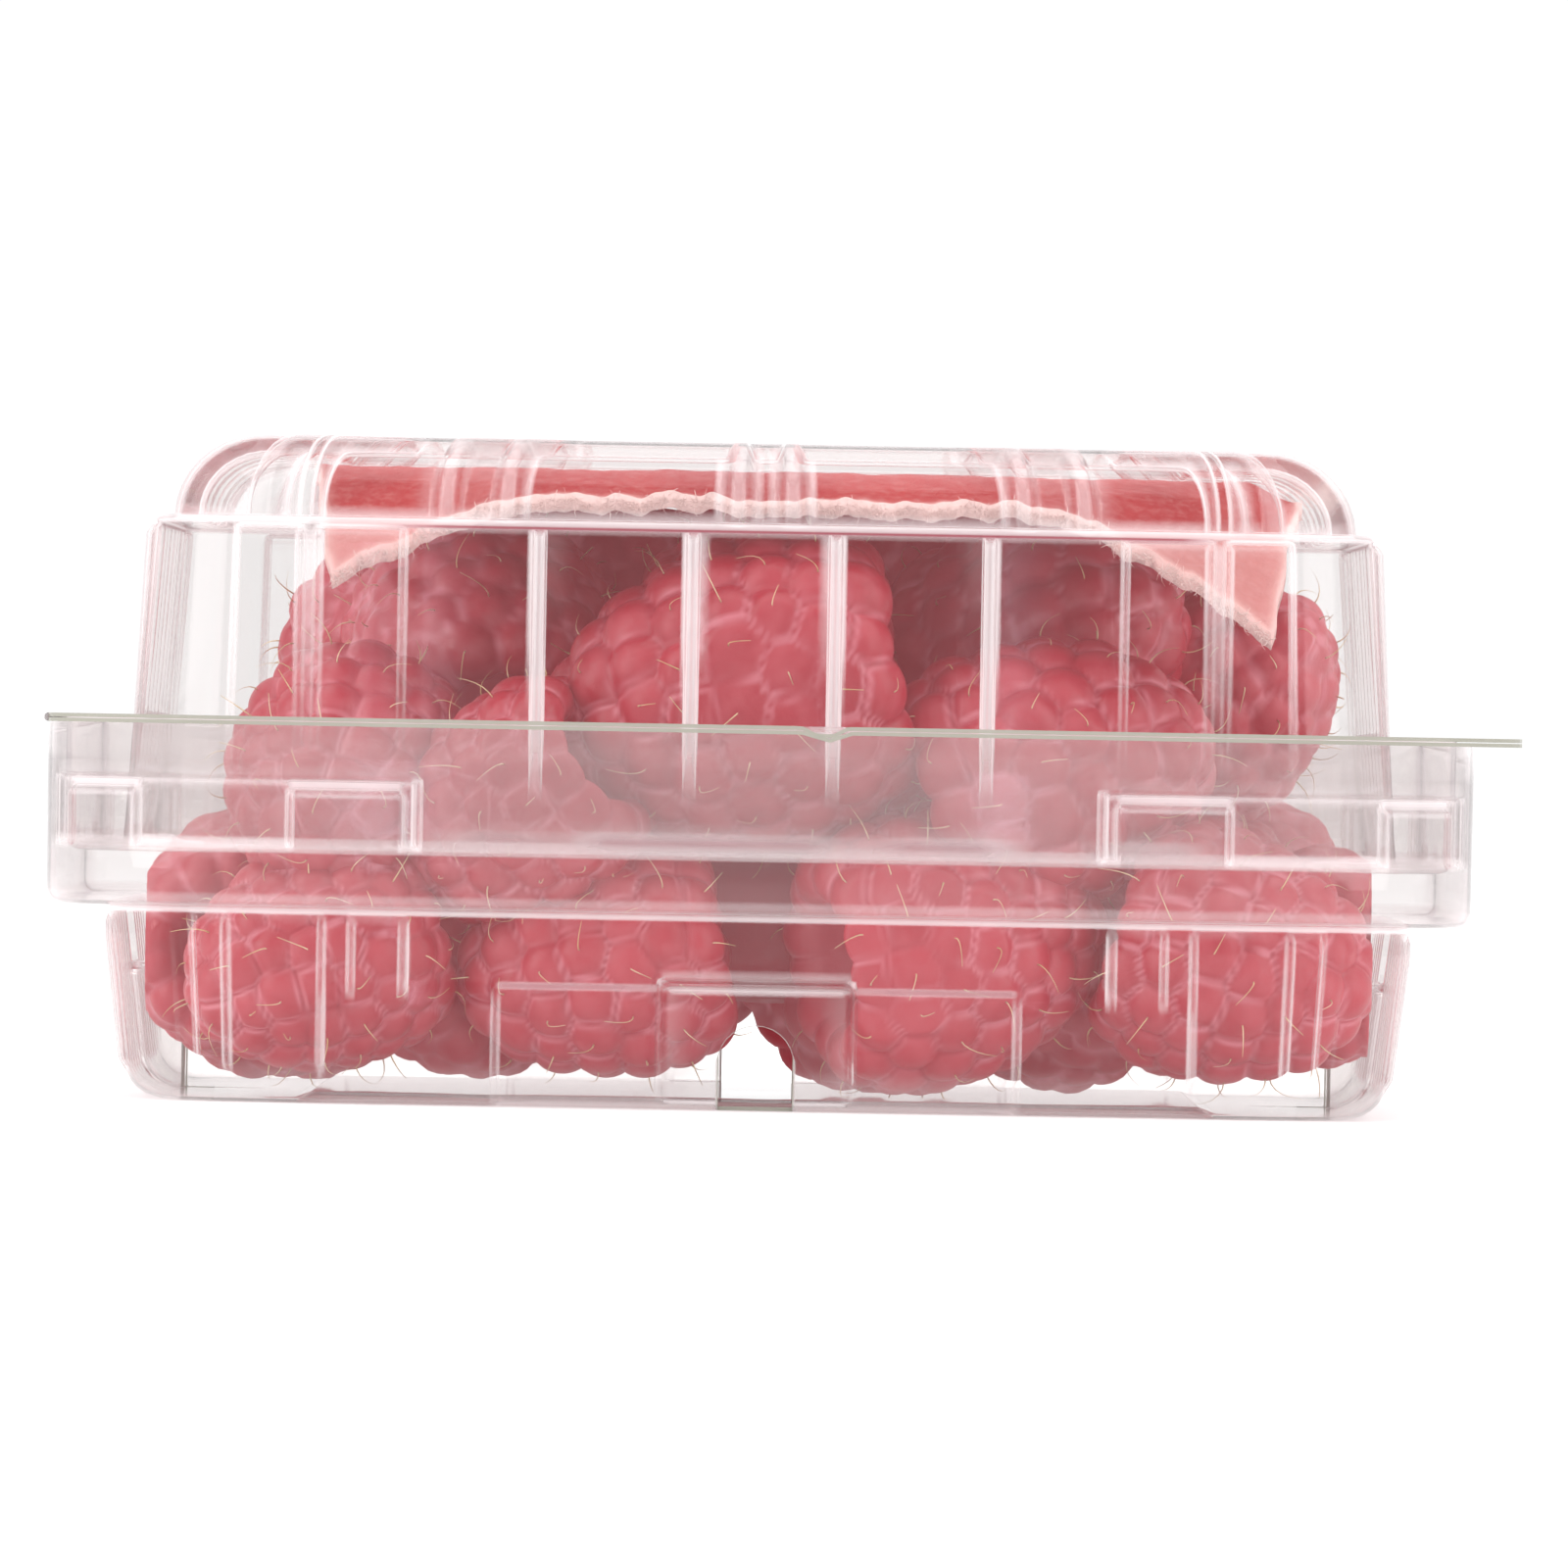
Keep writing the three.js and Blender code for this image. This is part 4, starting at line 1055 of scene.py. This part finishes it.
def shade_core(name):
    """Painted shade: a deep red body behind the gaps between the berries, in place of the shaded berries deep
    in the heap. A box with well rounded edges, whose directions are eased by a power, with small waves. It
    carries the berries' numbers and is all groove, so it takes the painted groove shade all over."""
    rows, cols = 40, 60
    up, round_about = np.meshgrid(np.linspace(math.pi / 2, -math.pi / 2, rows),
                                  np.linspace(0, math.tau, cols, endpoint=False), indexing="ij")

    def eased(value):
        return np.sign(value) * np.abs(value) ** 0.35

    x = 0.5 + 25.0 * eased(np.cos(up)) * eased(np.cos(round_about))
    y = 1.0 + 36.0 * eased(np.cos(up)) * eased(np.sin(round_about))
    z = 12.4 + 5.2 * eased(np.sin(up))
    points = np.stack([x, y, z + 0.5 * ripple(x, y, 12, 9.0)], -1).reshape(-1, 3)
    used, quads, ends = ball_faces(rows, cols)
    none = np.zeros(int(used.sum()))
    numbers = {"groove": none + 1, "rim": none, "tone": none, "hollow": none}
    return put_mesh(name, points[used] + [ROW_SHIFT, 0, 0], quads.tolist() + ends.tolist(), numbers)


def lower_berries():
    """The bottom layer behind the front row: a grid with small fixed irregularities, its middle row pressed
    in by the side vents' recesses."""
    berries = []
    for j, y in enumerate(LOWER_ROWS):
        for i, x in enumerate(LOWER_COLUMNS):
            swing = [math.sin((i * 7 + j * 13 + seed) * 12.9898) for seed in range(1, 7)]
            squeeze = 0.92 if abs(y) < 5 else 1
            berries.append((
                x * squeeze + 0.5 * swing[0], y + 0.6 * swing[1], LOWER_LEVEL, 20.4 + 0.8 * swing[2],
                18.6 + 0.4 * swing[3], 180 + 180 * swing[4], 22 * swing[5],
            ))
    return berries


def strands(name, roots, ways, lengths, radius, seed, bend=0.8, segments=5, limit=None, floats=None):
    """Thin curved strands: each leaves its root along its way and turns aside with the square of the
    distance, and is a tube of three sides that narrows to its end. limit keeps their points inside."""
    draw = np.random.default_rng(seed)
    count = len(roots)
    aside = draw.normal(size=(count, 3))
    aside -= ways * (aside * ways).sum(1, keepdims=True)
    aside /= np.linalg.norm(aside, axis=1, keepdims=True)
    other = np.cross(ways, aside)
    t = np.linspace(0, 1, segments + 1)[None, :, None]
    span = lengths[:, None, None]
    line = roots[:, None] + ways[:, None] * span * (t - 0.35 * t ** 2) + aside[:, None] * span * bend * t ** 2
    if limit is not None:
        line = limit(line.reshape(-1, 3)).reshape(line.shape)
    width = radius * (1 - 0.6 * t)
    turns = [0, math.tau / 3, 2 * math.tau / 3]
    ring = [line + width * (aside[:, None] * math.cos(a) + other[:, None] * math.sin(a)) for a in turns]
    points = np.stack(ring, 2)
    size = (segments + 1) * 3
    a, b, b2, a2 = corners_round(np.arange(size).reshape(segments + 1, 3))
    quads = np.stack([a, a2, b2, b], -1).reshape(-1, 4)
    caps = np.array([[0, 2, 1], [size - 3, size - 2, size - 1]])
    shift = (np.arange(count) * size)[:, None, None]
    faces = (quads[None] + shift).reshape(-1, 4).tolist() + (caps[None] + shift).reshape(-1, 3).tolist()
    points = points.reshape(-1, 3)
    floats = {key: np.full(len(points), value) for key, value in (floats or {}).items()}
    return put_mesh(name, points + [ROW_SHIFT, 0, 0], faces, floats)


# The pad

def pad_place(u, v):
    """The pad's upper side: a level sheet whose front corners hang down, the right one further, whose
    front edge follows the shoulder and whose right edge turns down."""
    x = PAD_LEFT + (PAD_RIGHT - PAD_LEFT) * u
    right = np.clip((x - PAD_RIGHT_FOLD) / (PAD_RIGHT - PAD_RIGHT_FOLD), 0, 1)
    left = np.clip((PAD_LEFT_FOLD - x) / (PAD_LEFT_FOLD - PAD_LEFT), 0, 1)
    corner = PAD_RIGHT_DROP * right ** 1.6 + PAD_LEFT_DROP * left ** 1.25
    front = PAD_FRONT - 2.0 * smooth(corner / 6)
    y = front + (PAD_BACK - front) * v ** 1.6
    fold = np.clip((PAD_FRONT_FOLD - y) / (PAD_FRONT_FOLD - front), 0, 1)
    low = corner * fold ** 1.4
    lip = 1.7 * smooth((-y - 41.9) / 6.0)
    side = 1.4 * smooth((x - 31.4) / 4.0) * np.clip(1 - low / 4, 0, 1)
    z = PAD_TOP - lip - side - low
    return x - 0.25 * low * np.sign(x), y, z


def pad_piece(name):
    """The pad as a closed sheet: both sides carry small waves, and its edges are uneven and in front a little
    swollen. Returns it with the points along its front edge, from which fibres stand out."""
    us = np.linspace(0, 1, 221)
    vs = np.linspace(0, 1, 121)
    u, v = np.meshgrid(us, vs)
    x, y, z = pad_place(u, v)
    rim = np.minimum(np.minimum(u, 1 - u) * 65, np.minimum(v * 8, (1 - v) * 60))
    fray = np.exp(-rim / 0.6)
    wave = 0.12 * ripple(x, y, 5, 9.0) + 0.05 * ripple(x, y, 6, 2.5)
    y = y + fray * (0.22 * ripple(x, 0 * y, 7, 4.0) + 0.12 * ripple(x, 0 * y, 8, 1.3)) * (v < 0.5)
    x = x + fray * 0.15 * ripple(y, 0 * y, 9, 3.0) * (np.abs(u - 0.5) > 0.4)
    z = z + fray * (0.16 * ripple(x, 0 * y, 13, 1.7) + 0.12 * ripple(x, 0 * y, 14, 6.0)) * (v < 0.5)
    thick = PAD_THICK + 0.35 * fray * (v < 0.5)
    top = np.stack([x, y, z - 0.1 + np.minimum(wave, 0.12)], -1)
    low = np.stack([x, y, z - thick + 0.6 * wave], -1)
    rows, cols = u.shape
    grid = np.arange(rows * cols).reshape(rows, cols)
    a, b, c, d = grid[:-1, :-1], grid[:-1, 1:], grid[1:, 1:], grid[1:, :-1]
    upper = np.stack([a, b, c, d], -1).reshape(-1, 4)
    under = upper[:, ::-1] + rows * cols
    loop = np.concatenate([grid[0, :-1], grid[:-1, -1], grid[-1, :0:-1], grid[:0:-1, 0]])
    ahead = np.roll(loop, -1)
    rims = np.stack([ahead, loop, loop + rows * cols, ahead + rows * cols], -1)
    faces = np.concatenate([upper, under, rims]).tolist()
    points = np.concatenate([top.reshape(-1, 3), low.reshape(-1, 3)])
    from_edge = np.minimum(np.minimum(u, 1 - u) * 65, np.minimum(v ** 1.6 * 93, (1 - v) * 60))
    torn = np.tile(np.exp(-from_edge / 0.3).ravel(), 2)
    droop = np.tile(smooth((39.4 - z) / 1.6).ravel(), 2)
    pad = put_mesh(name, points + [ROW_SHIFT, 0, 0], faces, {"torn": torn, "droop": droop})
    return pad, (top[0] + low[0]) / 2


# Settings

def colour(name, description, default):
    """A colour that a user would change."""
    return bpy.props.FloatVectorProperty(
        name=name, description=description, subtype="COLOR", size=3, min=0, max=1, default=default)


def share(name, description, default, top=1.0):
    """A share between nothing and the most that looks right."""
    return bpy.props.FloatProperty(
        name=name, description=description, default=default, min=0, max=top, subtype="FACTOR")


def amount(name, description, default, low=0.0, top=100.0):
    """A size, a power or a rate, with the least and the most it takes."""
    return bpy.props.FloatProperty(name=name, description=description, default=default, min=low, max=top)


class PunnetLook(bpy.types.PropertyGroup):
    """Sizes and colours of the punnet that a user would change."""
    sheet: amount("Sheet", "Thickness of the clear sheet, in millimetres", 0.25, 0.1, 0.5)
    haze: share("Haze", "Milky share of each side of the sheet", 0.004, 0.5)
    # Painted reflection: the band haze stands in for the white surround reflected by the band's stacked
    # layers
    band_painted_reflection: share("Band haze", "More of it in the deep band", 0.03, 0.5)
    # Painted highlight: the fold haze whitens the sheet in its own colour where it bends sharply
    fold_highlight: share("Fold haze", "Milky share where the sheet is folded", 0.5)
    fold_highlight_start: amount("Fold start", "Bend in radians per millimetre that starts to whiten", 0.5)
    fold_highlight_full: amount("Fold full", "Bend in radians per millimetre that whitens fully", 2.5)
    sheet_colour: colour("Sheet colour", "Colour of the haze in the clear sheet", (0.95, 0.87, 0.88))
    edge_colour: colour("Cut edge", "Colour of the sheet's cut edges", (0.36, 0.35, 0.3))
    # A dark red tinge painted into the sheet's folds and along the foot where berries lie behind
    tinge_colour: colour("Fold stain", "Dark red of the berries in the sheet's folds", (0.3, 0.012, 0.04))
    berry_deep: colour("Deep red", "Darker berries", (0.35, 0.009, 0.024))
    berry_light: colour("Light red", "Lighter berries", (0.47, 0.024, 0.045))
    berry_bloom: colour("Bloom", "Pale bloom on the berries", (0.5, 0.085, 0.11))
    berry_rim: colour("Rim", "Fine pale line round each drupelet", (0.66, 0.24, 0.29))
    # Painted shade: darker red laid into the grooves between the drupelets
    berry_groove_shade: colour("Groove", "Deeper red between the drupelets", (0.36, 0.008, 0.025))
    # Painted glow: emission of the skin's own colour that brightens the berries' shadows
    berry_painted_glow: share("Flesh glow", "Light that the flesh passes into its shadows", 0.24)
    pad_pink: colour("Pad pink", "The pad's main pink", (0.45, 0.026, 0.026))
    pad_red: colour("Pad red", "Stronger blotches on the pad", (0.36, 0.008, 0.012))
    pad_tip: colour("Pad tips", "The pad's hanging corners", (0.78, 0.4, 0.38))
    pad_edge: colour("Pad edge", "The pad's torn edge", (0.92, 0.66, 0.63))
    # Painted glow: emission of the pad's colour that brightens its shaded underside
    pad_painted_glow: share("Pad glow", "Light that the thin pad passes to its underside", 0.22)


class StudioLook(bpy.types.PropertyGroup):
    """The camera and the light."""
    distance: amount("Distance", "Camera to the middle of the punnet, in metres", 1.8, 0.3, 5.0)
    key: amount("Softboxes", "Power of the left and top softboxes, in watts; the right one has less", 1.6)
    strips: amount("Strips", "Power of the narrow strips, in watts per metre of width", 4.5)
    sky: amount("Surround", "Brightness of the white surround", 1.04)


# Operators

class PUNNET_OT_shells(bpy.types.Operator):
    """Makes the clear upper and lower shells"""
    bl_idname = "punnet.shells"
    bl_label = "Clear shells"

    def execute(self, context):
        look = context.scene.punnet_look
        material = clear_sheet("clear_sheet")
        flange_top = HINGE_Z + HINGE_GAP + look.sheet
        cols, grid = upper_grid(flange_top)
        grid = flange_rows(cols, grid, flange_top, UPPER_MOUTH)
        # The plug inside the band takes half of the band's painted reflection
        milky = smooth(HINGE_Z - 0.6 - grid[..., 2]) * 0.5
        upper = sheet_mesh("upper_clear_shell", grid, look, milky, upper_tinge(grid))
        flange_bottom = HINGE_Z - HINGE_GAP - look.sheet
        cols, grid, keep = lower_grid(flange_bottom)
        keep = np.concatenate([keep, np.ones((len(FLANGE_ROWS), len(cols)), bool)])
        grid = flange_rows(cols, grid, flange_bottom, LOWER_MOUTH)
        # The band above the ledge takes the full painted reflection
        milky = smooth(grid[..., 2] - 12.6)
        lower = sheet_mesh("lower_clear_shell", grid, look, milky, lower_tinge(grid), True, keep)
        for piece, body, node in ((upper, "upper", "upper_shell"), (lower, "lower", "lower_shell")):
            piece.data.materials.append(material)
            # The thin sheet's shadow can't be seen in the photo, and leaving it out keeps the render short
            piece.visible_shadow = False
            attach(piece, body)
            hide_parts(node)
        fold = hinge_fold("hinge_fold", look)
        fold.data.materials.append(material)
        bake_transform(fold)
        return {"FINISHED"}


class PUNNET_OT_berries(bpy.types.Operator):
    """Makes every raspberry and the fine hairs on those in front and on top"""
    bl_idname = "punnet.berries"
    bl_label = "Raspberries"

    def execute(self, context):
        look = context.scene.punnet_look
        flesh = berry_flesh("berry_flesh", look)
        # Rows and columns of the mesh of one berry, finer in front, and each piece's first berry number
        front, *front_hairs = berry_piece("front_low_raspberries", FRONT_BERRIES[:4], 136, 176, 0)
        high, *high_hairs = berry_piece("front_high_raspberries", FRONT_BERRIES[4:], 136, 176, 4)
        upper, *upper_hairs = berry_piece("upper_raspberries", UPPER_BERRIES, 72, 96, 20)
        lower = berry_piece("lower_raspberries", lower_berries(), 60, 80, 40)[0]
        filler = berry_piece("filling_raspberries", FILLERS, 60, 80, 56)[0]
        # The core is painted shade: a dark red body in place of the shaded berries deep in the heap
        for piece in (front, high, upper, lower, filler, shade_core("shade_core")):
            piece.data.materials.append(flesh)
            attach(piece, "lower")
        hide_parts("raspberries")
        draw = np.random.default_rng(11)
        roots, ways = (np.concatenate(parts) for parts in zip(front_hairs, high_hairs, upper_hairs))
        chosen = draw.uniform(size=len(roots)) < 0.75
        roots, ways = roots[chosen], ways[chosen]
        lengths = draw.uniform(1.2, 3.0, len(roots))
        hairs = strands("berry_hairs", roots - ways * 0.15, ways, lengths, 0.06, 3, bend=0.75,
                        limit=inside_walls)
        hairs.data.materials.append(hair_finish("hair_tan"))
        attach(hairs, "lower")
        return {"FINISHED"}


class PUNNET_OT_pad(bpy.types.Operator):
    """Makes the absorbent pad under the top plate"""
    bl_idname = "punnet.pad"
    bl_label = "Absorbent pad"

    def execute(self, context):
        pad, front_edge = pad_piece("fibrous_pad")
        count = 1600
        draw = np.random.default_rng(21)
        place = draw.uniform(0, len(front_edge) - 1.001, count)
        step = place.astype(int)
        roots = front_edge[step] + (front_edge[step + 1] - front_edge[step]) * (place - step)[:, None]
        roots += draw.uniform(-0.25, 0.25, (count, 3)) * [1, 0.3, 1]
        ways = draw.normal(size=(count, 3)) * [1, 0.35, 0.8] + [0, -0.25, -0.35]
        ways /= np.linalg.norm(ways, axis=1, keepdims=True)
        fibres = strands("pad_fibres", roots, ways, draw.uniform(0.3, 0.9, count), 0.05, 22, segments=4,
                         floats={"torn": 1.0})
        for piece in (pad, fibres):
            piece.data.materials.append(pad_paper(piece.name, context.scene.punnet_look))
            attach(piece, "upper")
        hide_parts("absorbent_pad")
        return {"FINISHED"}


def soft_box(name, place, target, size, power):
    """A rectangular light at a place, turned to a target, in metres."""
    light = bpy.data.lights.new(name, "AREA")
    light.shape = "RECTANGLE"
    light.size, light.size_y = size
    light.energy = power
    lamp = bpy.data.objects.new(name, light)
    lamp.location = place
    way = np.array(target) - np.array(place)
    lamp.rotation_mode = "QUATERNION"
    lamp.rotation_quaternion = Vector(way).to_track_quat("-Z", "Y")
    bpy.context.scene.collection.objects.link(lamp)
    return lamp


def photo_camera(distance):
    """The photo's camera: square to the near short side, its lens from the scale at that side, the punnet
    as far off the picture's middle as in the photo, and the whole picture turned a little."""
    lens = bpy.data.cameras.new("camera")
    lens.sensor_width = SENSOR
    lens.lens = SENSOR * (PIXELS_PER_MM / MM) * (distance - NEAR_FACE * MM) / PHOTO_SIDE
    lens.shift_y = (HINGE_PIXEL_Y - PHOTO_SIDE / 2) / PHOTO_SIDE
    lens.clip_start, lens.clip_end = 0.01, 20
    camera = bpy.data.objects.new("camera", lens)
    aside = (BAND_PIXEL_X - PHOTO_SIDE / 2) / PIXELS_PER_MM
    camera.location = ((ROW_SHIFT - aside) * MM, -distance, HINGE_Z * MM)
    camera.rotation_euler = (math.pi / 2, math.radians(PHOTO_TURN), 0)
    bpy.context.scene.collection.objects.link(camera)
    return camera


class PUNNET_OT_studio(bpy.types.Operator):
    """Makes the pale floor, the light and the camera"""
    bl_idname = "punnet.studio"
    bl_label = "Studio"

    def execute(self, context):
        look = context.scene.studio_look
        scene = context.scene
        # Light passes many clear layers, and the few bounces keep the render short
        scene.cycles.transparent_max_bounces = 24
        scene.cycles.max_bounces = 3
        scene.cycles.light_sampling_threshold = 0.05
        scene.cycles.diffuse_bounces = 1
        scene.cycles.glossy_bounces = 2
        scene.view_settings.view_transform = "Standard"
        # The floor's corners in metres, a little under the foot
        corners = np.array([(-4.0, -3.0, 0.0), (4.0, -3.0, 0.0), (-4.0, 5.0, 0.0), (4.0, 5.0, 0.0)])
        floor = put_mesh("pale_floor", corners / MM - [0, 0, 0.02], [[0, 1, 3, 2]])
        floor.data.materials.append(plain_floor("pale_floor"))
        world = bpy.data.worlds.new("white_surround")
        world.use_nodes = True
        world.node_tree.nodes["Background"].inputs["Color"].default_value = (1, 1, 1, 1)
        world.node_tree.nodes["Background"].inputs["Strength"].default_value = look.sky
        scene.world = world
        middle = (0, 0, 0.02)
        soft_box("left_box", (-0.5, -0.25, 0.3), middle, (0.35, 0.6), look.key)
        soft_box("right_box", (0.5, -0.25, 0.3), middle, (0.35, 0.6), look.key * 0.8)
        # Two strips beside the camera, which show as upright glints on the sheet
        for name, across, wide in (("left_strip", -0.046, 0.008), ("right_strip", 0.026, 0.004)):
            strip = soft_box(name, (across, -1.45, 0.16), (across, 0, 0.16), (wide, 0.5), look.strips * wide)
            strip.data.color = (0.95, 0.86, 1.0)
        soft_box("top_box", (0.0, 0.05, 0.6), middle, (0.7, 0.5), look.key)
        scene.camera = photo_camera(look.distance)
        return {"FINISHED"}


class PUNNET_PT_panel(bpy.types.Panel):
    """Lists the punnet's operators and its settings"""
    bl_idname = "PUNNET_PT_panel"
    bl_label = "Punnet of raspberries"
    bl_space_type = "VIEW_3D"
    bl_region_type = "UI"
    bl_category = "Punnet"

    def draw(self, context):
        for maker in MAKERS:
            self.layout.operator(maker.bl_idname)
        for group in (context.scene.punnet_look, context.scene.studio_look):
            for key in group.__annotations__:
                self.layout.prop(group, key)


MAKERS = (PUNNET_OT_shells, PUNNET_OT_berries, PUNNET_OT_pad, PUNNET_OT_studio)
CLASSES = (PunnetLook, StudioLook, *MAKERS, PUNNET_PT_panel)


def register():
    for kind in CLASSES:
        bpy.utils.register_class(kind)
    bpy.types.Scene.punnet_look = bpy.props.PointerProperty(type=PunnetLook)
    bpy.types.Scene.studio_look = bpy.props.PointerProperty(type=StudioLook)


def unregister():
    del bpy.types.Scene.studio_look
    del bpy.types.Scene.punnet_look
    for kind in reversed(CLASSES):
        bpy.utils.unregister_class(kind)


def main():
    register()
    bpy.ops.punnet.shells()
    bpy.ops.punnet.berries()
    bpy.ops.punnet.pad()
    bpy.ops.punnet.studio()


if __name__ == "__main__":
    main()
